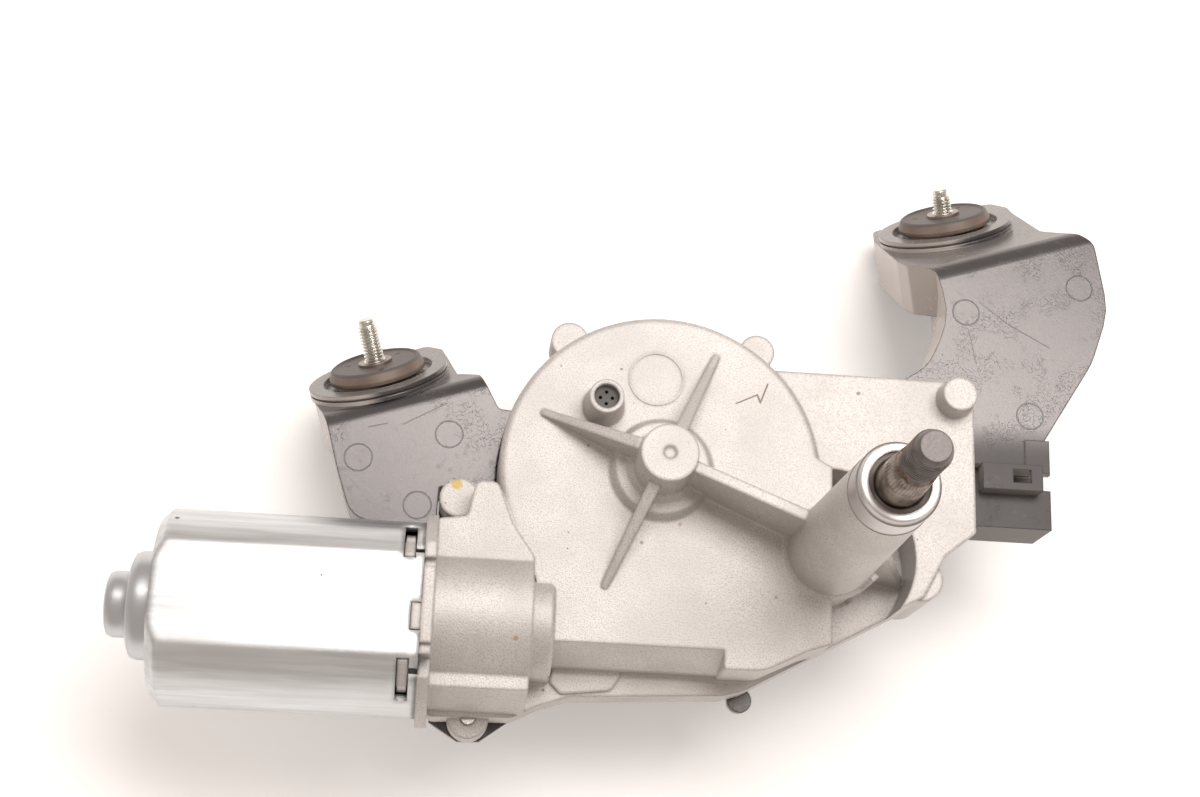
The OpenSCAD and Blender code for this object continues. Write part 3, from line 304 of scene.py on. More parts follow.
line_mark, given, out = start_group(
    "line_mark", [("Start", "Vector"), ("End", "Vector"), ("Width", "Float")], [("Mask", "Float")]
)
from_start = vector(line_mark, "SUBTRACT", place_of(line_mark), given["Start"])
run = vector(line_mark, "SUBTRACT", given["End"], given["Start"])
share = calc(line_mark, "DIVIDE", vector(line_mark, "DOT_PRODUCT", from_start, run),
             vector(line_mark, "DOT_PRODUCT", run, run))
share = calc(line_mark, "MINIMUM", calc(line_mark, "MAXIMUM", share, 0.0), 1.0)
aside = vector(line_mark, "SUBTRACT", from_start, vector(line_mark, "MULTIPLY", run, share))
core = calc(line_mark, "MULTIPLY", given["Width"], LINE_CORE)
off_line = vector(line_mark, "LENGTH", aside)
feed(line_mark, between(line_mark, off_line, given["Width"], core), out["Mask"])
print("groups", [group.name for group in bpy.data.node_groups])

# %% [markdown]
# Every finish starts as a named material with its plain colour, and is given to CAD nodes by
# putting it in their material slots.

# %% Start a finish, dress the nodes
def start_finish(name, color, roughness, metallic=0.0):
    mat = bpy.data.materials.new(name)
    mat.use_nodes = True
    shader = mat.node_tree.nodes["Principled BSDF"]
    shader.inputs["Base Color"].default_value = (*color, 1)
    shader.inputs["Roughness"].default_value = roughness
    shader.inputs["Metallic"].default_value = metallic
    return mat, mat.node_tree, shader.inputs


def dress(mat, *names):
    for name in names:
        for slot in node_object[name].material_slots:
            slot.material = mat
    print(mat.name, "on", ", ".join(names))


# %% [markdown]
# The gear housing is a pale die casting, blasted matt: a mottled skin with a fine speckle, a few
# brown pits, a yellow stain on a lug and a scratch right of the upper rib. The barrel's collar
# is turned bright. One material shows both, because a mask finds the collar by its place.

# %% Cast aluminium
CAST_COLORS = ((0.52, 0.505, 0.49), (0.61, 0.59, 0.575))
CAST_SPECK = (0.45, 0.42, 0.39)
CAST_PIT = (0.30, 0.23, 0.18)
CAST_SCRATCH = (0.24, 0.20, 0.17)
CAST_RUBBED = (0.66, 0.64, 0.62)
COLLAR_COLOR = (0.54, 0.52, 0.51)
COLLAR_RADIUS = (0.0125, 0.012)
COLLAR_FOOT = (-0.0003, 0.0)
LATHE_RINGS = 9000.0
CAST_STAINS = [  # place in wheel millimetres, size, colour
    ((-57.4, -5.6, -8.0), 1.9, (0.50, 0.38, 0.16)),
    ((-58.7, -60.3, 5.0), 1.3, (0.30, 0.20, 0.12)),
    ((-39.2, -51.7, 9.0), 0.9, (0.42, 0.32, 0.24)),
    ((57.3, 27.3, -2.0), 0.7, (0.30, 0.24, 0.20)),
    ((-5.0, -21.3, 0.0), 0.6, (0.34, 0.28, 0.24)),
    ((5.7, -15.4, 0.0), 0.6, (0.40, 0.32, 0.26)),
    ((33.3, -34.7, 0.0), 0.6, (0.42, 0.34, 0.28)),
]
CAST_SCRATCHES = [  # start, end, width
    ((21.1, 21.2, 0.0), (27.2, 24.2, 0.0), 0.22),
    ((27.2, 24.2, 0.0), (28.1, 21.9, 0.0), 0.3),
    ((28.1, 21.9, 0.0), (30.2, 27.6, 0.0), 0.28),
]


def cast_aluminium():
    mat, tree, shader = start_finish("cast_aluminium", (0.52, 0.49, 0.465), roughness=0.56,
                                     metallic=0.6)
    place = place_of(tree)
    x, y, z = axes_of(tree, place)
    marks = use(tree, skin_marks, Broad=60.0, Fine=2300.0, Sparse=230.0)
    edges = use(tree, round_edges, Radius=0.0014)
    squares = calc(tree, "ADD", calc(tree, "MULTIPLY", x, x), calc(tree, "MULTIPLY", y, y))
    from_axis = calc(tree, "SQRT", squares)
    collar = calc(tree, "MULTIPLY", between(tree, from_axis, *COLLAR_RADIUS),
                  between(tree, z, *COLLAR_FOOT))
    color = tint(tree, between(tree, marks["Mottle"], 0.3, 0.7), *CAST_COLORS)
    color = tint(tree, between(tree, marks["Grain"], 0.56, 0.34), color, CAST_SPECK)
    color = tint(tree, marks["Pits"], color, CAST_PIT)
    for spot, size, stain in CAST_STAINS:
        mask = use(tree, spot_mark, Place=at_mm(*spot), Size=size / MM_PER_M)["Mask"]
        color = tint(tree, mask, color, stain)
    dents = marks["Pits"]
    for start, end, width in CAST_SCRATCHES:
        mask = use(tree, line_mark, Start=at_mm(*start), End=at_mm(*end),
                   Width=width / MM_PER_M)["Mask"]
        color = tint(tree, mask, color, CAST_SCRATCH)
        dents = calc(tree, "MAXIMUM", dents, mask)
    color = tint(tree, calc(tree, "MULTIPLY", edges["Edge"], 0.25), color, CAST_RUBBED)
    rings = noise(tree, z, LATHE_RINGS, detail=1.0)
    color = tint(tree, collar, color, COLLAR_COLOR)
    feed(tree, color, shader["Base Color"])
    cast_rough = fade(tree, marks["Grain"], 0.52, 0.64)
    feed(tree, fade(tree, collar, cast_rough, 0.36), shader["Roughness"])
    feed(tree, fade(tree, collar, 0.6, 1.0), shader["Metallic"])
    cast_height = calc(tree, "SUBTRACT", marks["Grain"], dents)
    height = fade(tree, collar, cast_height, calc(tree, "MULTIPLY", rings, 0.12))
    feed(tree, relief(tree, height, depth=0.00009, normal=edges["Normal"]), shader["Normal"])
    return mat


dress(cast_aluminium(), "gear_housing")

# %% [markdown]
# The can is drawn from zinc-plated sheet. Drawing leaves faint streaks along its axis, so one
# noise is stretched that way, and the end boss, where the sheet was worked most, is duller.

# %% Zinc sheet
CAN_END = at_mm(-137.0, 0.0, 0.0).x
CAN_NICK = ((-132.0, -22.7, 8.0), (-133.9, -27.0, 2.0))
CAN_NICK_WIDTH = 0.0009
CAN_STAIN = (-107.5, -61.2, 6.0)
CAN_STAIN_SIZE = 0.0011
STREAK_SCALE = (30.0, 420.0, 420.0)
SHEET_COLORS = ((0.56, 0.575, 0.58), (0.68, 0.70, 0.71))


def zinc_sheet():
    mat, tree, shader = start_finish("zinc_sheet", (0.68, 0.68, 0.68), roughness=0.3, metallic=1.0)
    place = place_of(tree)
    x = axes_of(tree, place)[0]
    stretched = vector(tree, "MULTIPLY", place, STREAK_SCALE)
    streaks = noise(tree, stretched, 1.0, detail=4.0)
    marks = use(tree, skin_marks, Broad=22.0, Fine=900.0, Sparse=150.0)
    edges = use(tree, round_edges, Radius=0.0032)
    boss = between(tree, x, CAN_END + 0.0002, CAN_END - 0.0008)
    color = tint(tree, between(tree, streaks, 0.35, 0.65), *SHEET_COLORS)
    color = tint(tree, calc(tree, "MULTIPLY", between(tree, marks["Mottle"], 0.45, 0.7), 0.5),
                 color, (0.57, 0.58, 0.58))
    color = tint(tree, boss, color, (0.54, 0.56, 0.575))
    color = tint(tree, calc(tree, "MULTIPLY", marks["Pits"], 0.6), color, (0.30, 0.27, 0.24))
    stain = use(tree, spot_mark, Place=at_mm(*CAN_STAIN), Size=CAN_STAIN_SIZE)["Mask"]
    color = tint(tree, stain, color, (0.28, 0.24, 0.20))
    nick = use(tree, line_mark, Start=at_mm(*CAN_NICK[0]), End=at_mm(*CAN_NICK[1]),
               Width=CAN_NICK_WIDTH)["Mask"]
    color = tint(tree, nick, color, (0.16, 0.16, 0.16))
    dents = calc(tree, "MAXIMUM", marks["Pits"], nick)
    feed(tree, color, shader["Base Color"])
    sheet_rough = fade(tree, streaks, 0.28, 0.44)
    feed(tree, fade(tree, boss, sheet_rough, 0.33), shader["Roughness"])
    height = calc(tree, "SUBTRACT", calc(tree, "MULTIPLY", streaks, 0.25), dents)
    feed(tree, relief(tree, height, depth=0.00008, normal=edges["Normal"]), shader["Normal"])
    return mat


dress(zinc_sheet(), "motor_can")

# %% [markdown]
# Small turned, stamped and sintered metal parts differ in colour, gloss and grain only, so one
# function makes them all, each with wear on its edges and a cloudy tarnish.

# %% Worked metals
SMALL_EDGE = 0.0003


def worked_metal(name, light, dark, roughness, fine=900.0):
    mat, tree, shader = start_finish(name, light, roughness, metallic=1.0)
    marks = use(tree, skin_marks, Broad=160.0, Fine=fine, Sparse=600.0)
    edges = use(tree, round_edges, Radius=SMALL_EDGE)
    bright = tuple(min(1.0, 1.15 * part) for part in light)
    color = tint(tree, between(tree, marks["Mottle"], 0.35, 0.68), light, dark)
    color = tint(tree, marks["Pits"], color, tuple(0.5 * part for part in dark))
    color = tint(tree, calc(tree, "MULTIPLY", edges["Edge"], 0.5), color, bright)
    feed(tree, color, shader["Base Color"])
    feed(tree, fade(tree, marks["Grain"], roughness - 0.07, roughness + 0.09), shader["Roughness"])
    height = calc(tree, "SUBTRACT", marks["Grain"], marks["Pits"])
    feed(tree, relief(tree, height, depth=0.00002, normal=edges["Normal"]), shader["Normal"])
    return mat


ground_steel = worked_metal("ground_steel", (0.56, 0.55, 0.54), (0.44, 0.42, 0.40), 0.28)
zinc_fastener = worked_metal("zinc_fastener", (0.74, 0.73, 0.69), (0.56, 0.55, 0.49), 0.24)
sleeve_steel = worked_metal("sleeve_steel", (0.40, 0.355, 0.32), (0.26, 0.22, 0.19), 0.42)
sintered_bronze = worked_metal("sintered_bronze", (0.55, 0.40, 0.22), (0.38, 0.27, 0.15), 0.48,
                               fine=2200.0)
drawn_brass = worked_metal("drawn_brass", (0.72, 0.53, 0.26), (0.58, 0.40, 0.19), 0.30)
dress(ground_steel, "bearing_clip", "brush_springs", "thrust_ball", "armature_shaft",
      "armature_core", "wheel_shaft", "spindle_pinion", "spindle_circlip", "guide_clip",
      "guide_link", "link_pivot_pin", "sector_link", "crank_pin")
dress(zinc_fastener, "cover_screws", "connector_terminals")
dress(sleeve_steel, "sleeve_left", "sleeve_right")
dress(sintered_bronze, "rear_bearing", "middle_bush", "tip_bush", "wheel_bush",
      "spindle_bush_lower", "spindle_bush_upper")
dress(drawn_brass, "contact_ring", "contact_springs", "lead_frame")

# %% [markdown]
# The cover is moulded from black filled plastic. Its skin is fine-grained and slightly glossy,
# with faint dust in patches, painted light on the upper walls that face left, hair-thin curls and
# scuffs, lighter rubbed edges, and round marks where the ejector pins pushed it from the mould.
# Towards the connector the skin gets rougher, so it mirrors less of the lamp there.

# %% Black moulding
EJECTOR_MARKS = [(-86.3, 3.2, -18.0), (-60.5, 11.8, -18.0), (-68.4, -10.0, -18.0),
                 (91.7, 57.0, -8.0), (127.0, 67.3, -8.0), (110.4, 25.6, -8.0)]
SCUFFS = [((96.0, 60.5, -8.0), (104.5, 54.0, -8.0)), ((104.5, 54.0, -8.0), (117.0, 47.5, -8.0)),
          ((92.5, 51.0, -8.0), (94.5, 41.0, -8.0)), ((-74.0, 14.0, -18.0), (-62.0, 21.0, -18.0)),
          ((-84.0, 12.5, -18.0), (-78.5, 14.0, -18.0))]
PIN_RADIUS = 0.004
SCUFF_WIDTH = 0.00016
BLACK_COLORS = ((0.030, 0.029, 0.031), (0.046, 0.044, 0.046))
DUST_COLOR = (0.20, 0.19, 0.18)
PAINTED_WALL_LIGHT = (0.42, 0.38, 0.35)
BLACK_RUBBED = (0.11, 0.105, 0.10)
BLACK_SCORED = (0.012, 0.012, 0.012)
TO_LEFT = (-0.8, -0.6, 0.0)
CONNECTOR_X = (at_mm(80, 0, 0).x, at_mm(84, 0, 0).x)
CONNECTOR_Y = (at_mm(0, 24, 0).y, at_mm(0, 12, 0).y)


def black_moulding():
    mat, tree, shader = start_finish("black_moulding", (0.035, 0.034, 0.036), roughness=0.3)
    place = place_of(tree)
    x, y = axes_of(tree, place)[:2]
    marks = use(tree, skin_marks, Broad=55.0, Fine=2600.0, Sparse=420.0)
    edges = use(tree, round_edges, Radius=0.0006)
    dust_patches = between(tree, noise(tree, place, 420.0, detail=5.0), 0.55, 0.72)
    dust = calc(tree, "MULTIPLY", dust_patches, between(tree, marks["Mottle"], 0.42, 0.66))
    color = tint(tree, between(tree, marks["Mottle"], 0.3, 0.7), *BLACK_COLORS)
    color = tint(tree, calc(tree, "MULTIPLY", dust, 0.2), color, DUST_COLOR)
    # Upper walls that face left are lightened towards a pale colour: painted light on those walls.
    facing = tree.nodes.new("ShaderNodeNewGeometry").outputs["Normal"]
    lit_side_mask = between(tree, vector(tree, "DOT_PRODUCT", facing, TO_LEFT), 0.2, 0.5)
    upper = between(tree, y, at_mm(0, 3, 0).y, at_mm(0, 12, 0).y)
    color = tint(tree, calc(tree, "MULTIPLY", lit_side_mask, upper), color, PAINTED_WALL_LIGHT)
    color = tint(tree, calc(tree, "MULTIPLY", edges["Edge"], 0.35), color, BLACK_RUBBED)
    curls = calc(tree, "SUBTRACT", noise(tree, place, 620.0, detail=2.0), 0.5)
    curls = calc(tree, "ABSOLUTE", curls)
    patches = between(tree, noise(tree, place, 95.0), 0.5, 0.62)
    lines = calc(tree, "MULTIPLY", between(tree, curls, 0.009, 0.003), patches)
    lines = calc(tree, "MULTIPLY", calc(tree, "MAXIMUM", lines, marks["Pits"]), 0.4)
    for spot in EJECTOR_MARKS:
        ring = use(tree, ring_mark, Place=at_mm(*spot), Size=PIN_RADIUS)["Mask"]
        lines = calc(tree, "MAXIMUM", lines, ring)
    for start, end in SCUFFS:
        scuff = use(tree, line_mark, Start=at_mm(*start), End=at_mm(*end),
                    Width=SCUFF_WIDTH)["Mask"]
        lines = calc(tree, "MAXIMUM", lines, calc(tree, "MULTIPLY", scuff, 0.5))
    color = tint(tree, lines, color, BLACK_SCORED)
    feed(tree, color, shader["Base Color"])
    rough = fade(tree, dust, fade(tree, marks["Grain"], 0.19, 0.28), 0.36)
    low_down = between(tree, y, *CONNECTOR_Y)
    right_side = between(tree, x, *CONNECTOR_X)
    connector = calc(tree, "MULTIPLY", low_down, right_side)
    feed(tree, fade(tree, connector, rough, 0.6), shader["Roughness"])
    height = calc(tree, "SUBTRACT", calc(tree, "MULTIPLY", marks["Grain"], 0.3), lines)
    feed(tree, relief(tree, height, depth=0.00007, normal=edges["Normal"]), shader["Normal"])
    shader["IOR"].default_value = 1.72
    shader["Specular Tint"].default_value = (1.0, 0.94, 0.92, 1)
    shader["Sheen Weight"].default_value = 0.5
    shader["Sheen Roughness"].default_value = 0.35
    shader["Sheen Tint"].default_value = (1.0, 0.93, 0.87, 1)
    return mat


dress(black_moulding(), "rear_cover")

# %% [markdown]
# The other moulded and pressed materials are matt: rubber, ferrite, carbon, resin and the
# breather's stained filter. They share one function with a mottled colour and a fine skin.

# %% Moulded and pressed parts
def moulded(name, light, dark, roughness, fine=1800.0, depth=0.00003):
    mat, tree, shader = start_finish(name, light, roughness)
    marks = use(tree, skin_marks, Broad=120.0, Fine=fine, Sparse=500.0)
    edges = use(tree, round_edges, Radius=SMALL_EDGE)
    color = tint(tree, between(tree, marks["Mottle"], 0.32, 0.68), light, dark)
    color = tint(tree, calc(tree, "MULTIPLY", marks["Pits"], 0.7), color,
                 tuple(0.45 * part for part in dark))
    feed(tree, color, shader["Base Color"])
    feed(tree, fade(tree, marks["Grain"], roughness - 0.06, roughness + 0.1), shader["Roughness"])
    height = calc(tree, "SUBTRACT", marks["Grain"], marks["Pits"])
    feed(tree, relief(tree, height, depth, normal=edges["Normal"]), shader["Normal"])
    return mat


dress(moulded("seal_rubber", (0.030, 0.030, 0.030), (0.018, 0.018, 0.018), 0.5), "cover_gasket")
dress(moulded("dusty_rubber", (0.16, 0.13, 0.11), (0.035, 0.028, 0.024), 0.6,
              fine=2600.0, depth=0.0001), "spindle_seal")
dress(moulded("stained_filter", (0.15, 0.14, 0.13), (0.10, 0.092, 0.085), 0.8,
              fine=3500.0, depth=0.0001), "breather_plug")
dress(moulded("ferrite", (0.075, 0.075, 0.08), (0.05, 0.05, 0.053), 0.62), "field_magnets")
dress(moulded("pressed_carbon", (0.05, 0.05, 0.052), (0.03, 0.03, 0.03), 0.5), "carbon_brushes")
dress(moulded("pale_resin", (0.78, 0.75, 0.66), (0.68, 0.64, 0.54), 0.42), "worm_wheel")
dress(moulded("phenolic_brown", (0.34, 0.22, 0.12), (0.22, 0.14, 0.08), 0.5), "brush_holder")

# %% [markdown]
# Wound copper shows as fine parallel wires. A sine of the angle about the motor's axis draws
# them on the armature's ends, and a sine of the distance along it draws the choke coils' turns.
# The gaps between the wires are painted dark, as painted shade.

# %% Enamelled copper
MOTOR_AXIS = at_mm(0.0, -44.8, -10.0)
WIRE_GAP_SHADE = (0.16, 0.06, 0.03)
WIRE_CREST = (0.60, 0.28, 0.12)
WIRE_STAIN = (0.40, 0.16, 0.07)
WIRES_ROUND = 90.0
TURN_PITCH = 0.0008


def enamelled_copper(name, across, count):
    mat, tree, shader = start_finish(name, (0.55, 0.24, 0.10), roughness=0.25, metallic=1.0)
    place = place_of(tree)
    x, y, z = axes_of(tree, vector(tree, "SUBTRACT", place, tuple(MOTOR_AXIS)))
    if across == "angle":
        phase = calc(tree, "MULTIPLY", calc(tree, "ARCTAN2", y, z), count)
    else:
        phase = calc(tree, "MULTIPLY", x, count)
    wires = calc(tree, "ABSOLUTE", calc(tree, "SINE", phase))
    mottle = noise(tree, place, 300.0)
    # The gaps between the wires get a dark colour: painted shade between them.
    color = tint(tree, between(tree, wires, 0.0, 0.5), WIRE_GAP_SHADE, WIRE_CREST)
    color = tint(tree, calc(tree, "MULTIPLY", mottle, 0.5), color, WIRE_STAIN)
    feed(tree, color, shader["Base Color"])
    normal = use(tree, round_edges, Radius=0.0005)["Normal"]
    feed(tree, relief(tree, wires, depth=0.0002, normal=normal), shader["Normal"])
    return mat


dress(enamelled_copper("wound_copper", "angle", WIRES_ROUND), "armature_windings")
dress(enamelled_copper("coil_copper", "along", math.pi / TURN_PITCH), "choke_coils")
dress(worked_metal("segment_copper", (0.72, 0.40, 0.24), (0.50, 0.26, 0.15), 0.3), "commutator")

# %% [markdown]
# The grommets are brown rubber with a darker, dished top that carries three small dimples. The
# dimples sit round each stud, so their places come from the seat's own matrix. The dimples and
# small pits are painted near black: painted shade in the hollows.

# %% Grommet rubber
GROMMET_COLORS = ((0.20, 0.15, 0.12), (0.13, 0.095, 0.075))
GROMMET_TOP = (0.085, 0.080, 0.078)
TOP_HEIGHT = (0.0061, 0.0066)
DIMPLE_ANGLES = (35, 155, 275)
DIMPLE_CIRCLE = 9.0
DIMPLE_HEIGHT = 6.4
DIMPLE_SIZE = 0.0011
DIMPLE_SHADE = (0.03, 0.028, 0.027)


def grommet_rubber(name, seat):
    mat, tree, shader = start_finish(name, (0.17, 0.125, 0.10), roughness=0.5)
    place = place_of(tree)
    to_frame = seat_matrix(seat)
    outward = (to_frame.to_3x3() @ Vector((0.0, 0.0, 1.0))).normalized()
    from_seat = vector(tree, "SUBTRACT", place, tuple(at_mm(*seat)))
    height_up = vector(tree, "DOT_PRODUCT", from_seat, tuple(outward))
    marks = use(tree, skin_marks, Broad=90.0, Fine=1600.0, Sparse=380.0)
    edges = use(tree, round_edges, Radius=0.0005)
    top = between(tree, height_up, *TOP_HEIGHT)
    color = tint(tree, between(tree, marks["Mottle"], 0.3, 0.7), *GROMMET_COLORS)
    color = tint(tree, top, color, GROMMET_TOP)
    dimples = marks["Pits"]
    for angle in map(math.radians, DIMPLE_ANGLES):
        spot = to_frame @ Vector((DIMPLE_CIRCLE * math.cos(angle), DIMPLE_CIRCLE * math.sin(angle),
                                  DIMPLE_HEIGHT))
        mask = use(tree, spot_mark, Place=tuple(spot), Size=DIMPLE_SIZE)["Mask"]
        dimples = calc(tree, "MAXIMUM", dimples, mask)
    # Dimples and pits are painted near black as shade in their hollows.
    color = tint(tree, dimples, color, DIMPLE_SHADE)
    feed(tree, color, shader["Base Color"])
    feed(tree, fade(tree, marks["Grain"], 0.42, 0.6), shader["Roughness"])
    height = calc(tree, "SUBTRACT", calc(tree, "MULTIPLY", marks["Grain"], 0.3), dimples)
    feed(tree, relief(tree, height, depth=0.00012, normal=edges["Normal"]), shader["Normal"])
    return mat


dress(grommet_rubber("grommet_rubber_left", LEFT_SEAT), "grommet_left")
dress(grommet_rubber("grommet_rubber_right", RIGHT_SEAT), "grommet_right")

# %% [markdown]
# Threads, knurls and undercuts are turned on a lathe, and a lathe is what spin does: a profile
# of radius and height goes once round the axis. A thread is a small tooth that climbs while it
# turns, so spin carries it up by a step each time, and its ends fade into the core. Spin lists
# its faces in an order that changes from run to run, so each piece's faces are put in the order
# of their points, which is the same each time.

# %% Lathe and thread
ROOT_SINK = 0.15  # the tooth's root lies this deep in the core
ROOT_HALF = 0.42  # half widths of root and crest, as shares of the pitch
CREST_HALF = 0.1
FADE_TURNS = 1.1
FADE_SINK = 0.1
SHARP_ANGLE = 30.0


def turn_profile(bm, profile, steps):
    corners = [bm.verts.new((radius, 0.0, height)) for radius, height in profile]
    edges = [bm.edges.new(pair) for pair in zip(corners, corners[1:])]
    bmesh.ops.spin(bm, geom=corners + edges, cent=(0, 0, 0), axis=(0, 0, 1), dvec=(0, 0, 0),
                   angle=2 * math.pi, steps=steps, use_merge=True, use_duplicate=False)
    bmesh.ops.remove_doubles(bm, verts=bm.verts, dist=1e-4)
    bmesh.ops.recalc_face_normals(bm, faces=bm.faces)


def cut_thread(bm, core, crest, pitch, low, high, steps):
    before = set(bm.verts)
    tooth = [(core - ROOT_SINK, -ROOT_HALF), (crest, -CREST_HALF), (crest, CREST_HALF),
             (core - ROOT_SINK, ROOT_HALF)]
    corners = [bm.verts.new((radius, 0.0, low + (0.5 + share) * pitch)) for radius, share in tooth]
    edges = [bm.edges.new((corners[i], corners[(i + 1) % 4])) for i in range(4)]
    turns = (high - low) / pitch - 1.0
    count = int(turns * steps)
    bmesh.ops.spin(bm, geom=corners + edges, cent=(0, 0, 0), axis=(0, 0, 1),
                   dvec=(0, 0, pitch / steps), angle=count * 2 * math.pi / steps, steps=count,
                   use_merge=False, use_duplicate=False)
    made = [vert for vert in bm.verts if vert not in before]
    for vert in made:
        radius = vert.co.xy.length
        if radius > core:
            rise = min(vert.co.z - low, high - vert.co.z) / (FADE_TURNS * pitch)
            wanted = core - FADE_SINK + (radius - core + FADE_SINK) * max(0.0, min(1.0, rise))
            vert.co.xy *= wanted / radius
    ends = [edge for edge in bm.edges if edge.is_boundary and edge.verts[0] in made]
    filled = bmesh.ops.holes_fill(bm, edges=ends, sides=4)["faces"]
    faces = {face for vert in made for face in vert.link_faces}
    bmesh.ops.recalc_face_normals(bm, faces=list(faces))
    print("thread turns", round(turns, 1), "end caps", len(filled))


def order_faces(bm):
    bm.verts.index_update()
    ordered = sorted(bm.faces, key=lambda face: [vert.index for vert in face.verts])
    for index, face in enumerate(ordered):
        face.index = index
    bm.faces.sort()


def finish_piece(bm, name, to_frame, mat, body, replaced=None):
    bmesh.ops.transform(bm, matrix=to_frame, verts=bm.verts)
    order_faces(bm)
    mesh = bpy.data.meshes.new(name)
    bm.to_mesh(mesh)
    bm.free()
    mesh.shade_smooth()
    mesh.set_sharp_from_angle(angle=math.radians(SHARP_ANGLE))
    piece = bpy.data.objects.new(name, mesh)
    bpy.context.scene.collection.objects.link(piece)
    mesh.materials.append(mat)
    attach(piece, body)
    if replaced:
        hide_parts(replaced)
    print(name, "faces", len(mesh.polygons), "on", body)


# %% [markdown]
# The spindle has stood outdoors on a car: its cone is brown-grey with rust in the groove, the
# thread is dark with dirt, and the flat tip is rubbed grey. The bands follow its height, which
# is given in metres above the foot of the barrel's collar.

# %% Weathered spindle steel
THREAD_STARTS = (0.0262, 0.0282)
GROOVE_RUST = ((0.0246, 0.0262), (0.0282, 0.0292))
TOP_RUST = ((0.0398, 0.0404), (0.0408, 0.0412))
TIP_STARTS = (0.0426, 0.0429)
CONE_COLORS = ((0.36, 0.31, 0.27), (0.13, 0.10, 0.08))
THREAD_COLORS = ((0.17, 0.155, 0.15), (0.10, 0.09, 0.085))
RUST_COLOR = (0.17, 0.085, 0.045)
TIP_COLOR = (0.15, 0.135, 0.13)
STEEL_RUBBED = (0.40, 0.37, 0.35)
STEEL_PIT = (0.05, 0.04, 0.035)


def band(tree, value, rise, fall):
    rising = between(tree, value, rise[0], rise[1])
    return calc(tree, "MULTIPLY", rising, between(tree, value, fall[1], fall[0]))


def spindle_steel():
    mat, tree, shader = start_finish("spindle_steel", (0.26, 0.23, 0.21), roughness=0.42,
                                     metallic=0.6)
    place = place_of(tree)
    z = axes_of(tree, place)[2]
    marks = use(tree, skin_marks, Broad=230.0, Fine=1500.0, Sparse=520.0)
    edges = use(tree, round_edges, Radius=SMALL_EDGE)
    cloud = between(tree, marks["Mottle"], 0.36, 0.66)
    cone = tint(tree, cloud, *CONE_COLORS)
    thread = tint(tree, cloud, *THREAD_COLORS)
    color = tint(tree, between(tree, z, *THREAD_STARTS), cone, thread)
    rust = calc(tree, "MAXIMUM", band(tree, z, *GROOVE_RUST), band(tree, z, *TOP_RUST))
    rust = calc(tree, "MULTIPLY", rust, between(tree, noise(tree, place, 700.0), 0.48, 0.66))
    color = tint(tree, rust, color, RUST_COLOR)
    color = tint(tree, between(tree, z, *TIP_STARTS), color, TIP_COLOR)
    color = tint(tree, calc(tree, "MULTIPLY", edges["Edge"], 0.45), color, STEEL_RUBBED)
    color = tint(tree, marks["Pits"], color, STEEL_PIT)
    feed(tree, color, shader["Base Color"])
    rough = fade(tree, marks["Grain"], 0.40, 0.56)
    feed(tree, fade(tree, rust, rough, 0.8), shader["Roughness"])
    height = calc(tree, "SUBTRACT", calc(tree, "ADD", marks["Grain"], rust), marks["Pits"])
    feed(tree, relief(tree, height, depth=0.00006, normal=edges["Normal"]), shader["Normal"])
    return mat


# %% [markdown]
# The profile is in millimetres, radius and height. Every third column of points on the cone is
# pushed in, which cuts the knurl's grooves.

# %% Turned spindle
SPINDLE_PROFILE = [
    (0, -101.1), (3.8, -101.1), (4.0, -100.9), (4.0, -100.7), (3.4, -100.7), (3.4, -99.7),
    (4.0, -99.7), (4.0, -96.5), (4.2, -96.5), (4.2, -91.5), (6.0, -91.5), (6.0, 3.9), (5.4, 3.9),
    (5.4, 5.0), (6.0, 5.0), (6.0, 13.4), (5.93, 14.2), (5.76, 18.2), (5.74, 18.6), (5.41, 25.9),
    (5.39, 26.2), (5.3, 26.4), (4.6, 26.8), (4.6, 28.4), (4.6, 28.6), (4.6, 40.6), (4.6, 41.0),
    (4.5, 41.2), (4.5, 41.4), (3.75, 42.85), (3.6, 43.0), (0, 43.0)]
KNURL_COLUMNS = 120
KNURL_LOW, KNURL_HIGH = 18.5, 26.0
KNURL_DEPTH = 0.3

bm = bmesh.new()
turn_profile(bm, SPINDLE_PROFILE, KNURL_COLUMNS)
for vert in bm.verts:
    column = round(math.atan2(vert.co.y, vert.co.x) / (2 * math.pi / KNURL_COLUMNS))
    if KNURL_LOW < vert.co.z < KNURL_HIGH and column % 3 == 0:
        vert.co.xy *= 1.0 - KNURL_DEPTH / vert.co.xy.length
cut_thread(bm, core=4.6, crest=5.02, pitch=1.25, low=28.7, high=41.2, steps=48)
finish_piece(bm, "wiper_spindle_turned", from_mm(), spindle_steel(), "output",
             "wiper_spindle")

# %% [markdown]
# The studs have a rolled thread with bright crests, a short smooth point and a flat head behind
# the arm. Both have the same form and differ only in reach, from the seat's middle to the tip.

# %% Turned studs
HEAD_AND_SHANK = [(0, -8.2), (7.2, -8.2), (7.5, -7.9), (7.5, -5.4), (7.3, -5.2), (3.3, -5.2),
                  (3.3, 7.5)]
STUD_CORE = 2.3
STUD_POINT = 2.4
STUD_STEPS = 64
LEFT_REACH = 20.3
RIGHT_REACH = 15.0


def turned_stud(name, seat, reach, replaced):
    bm = bmesh.new()
    tip = reach - 1.9
    core_and_point = [(STUD_CORE, 7.7), (STUD_CORE, tip), (STUD_POINT, tip + 0.5),
                      (STUD_POINT, reach - 0.4), (2.0, reach), (0, reach)]
    turn_profile(bm, HEAD_AND_SHANK + core_and_point, STUD_STEPS)
    cut_thread(bm, core=STUD_CORE, crest=3.0, pitch=1.0, low=7.0, high=tip + 0.6, steps=32)
    finish_piece(bm, name, seat_matrix(seat), zinc_fastener, "housing", replaced)


turned_stud("stud_left_turned", LEFT_SEAT, LEFT_REACH, "stud_left")
turned_stud("stud_right_turned", RIGHT_SEAT, RIGHT_REACH, "stud_right")

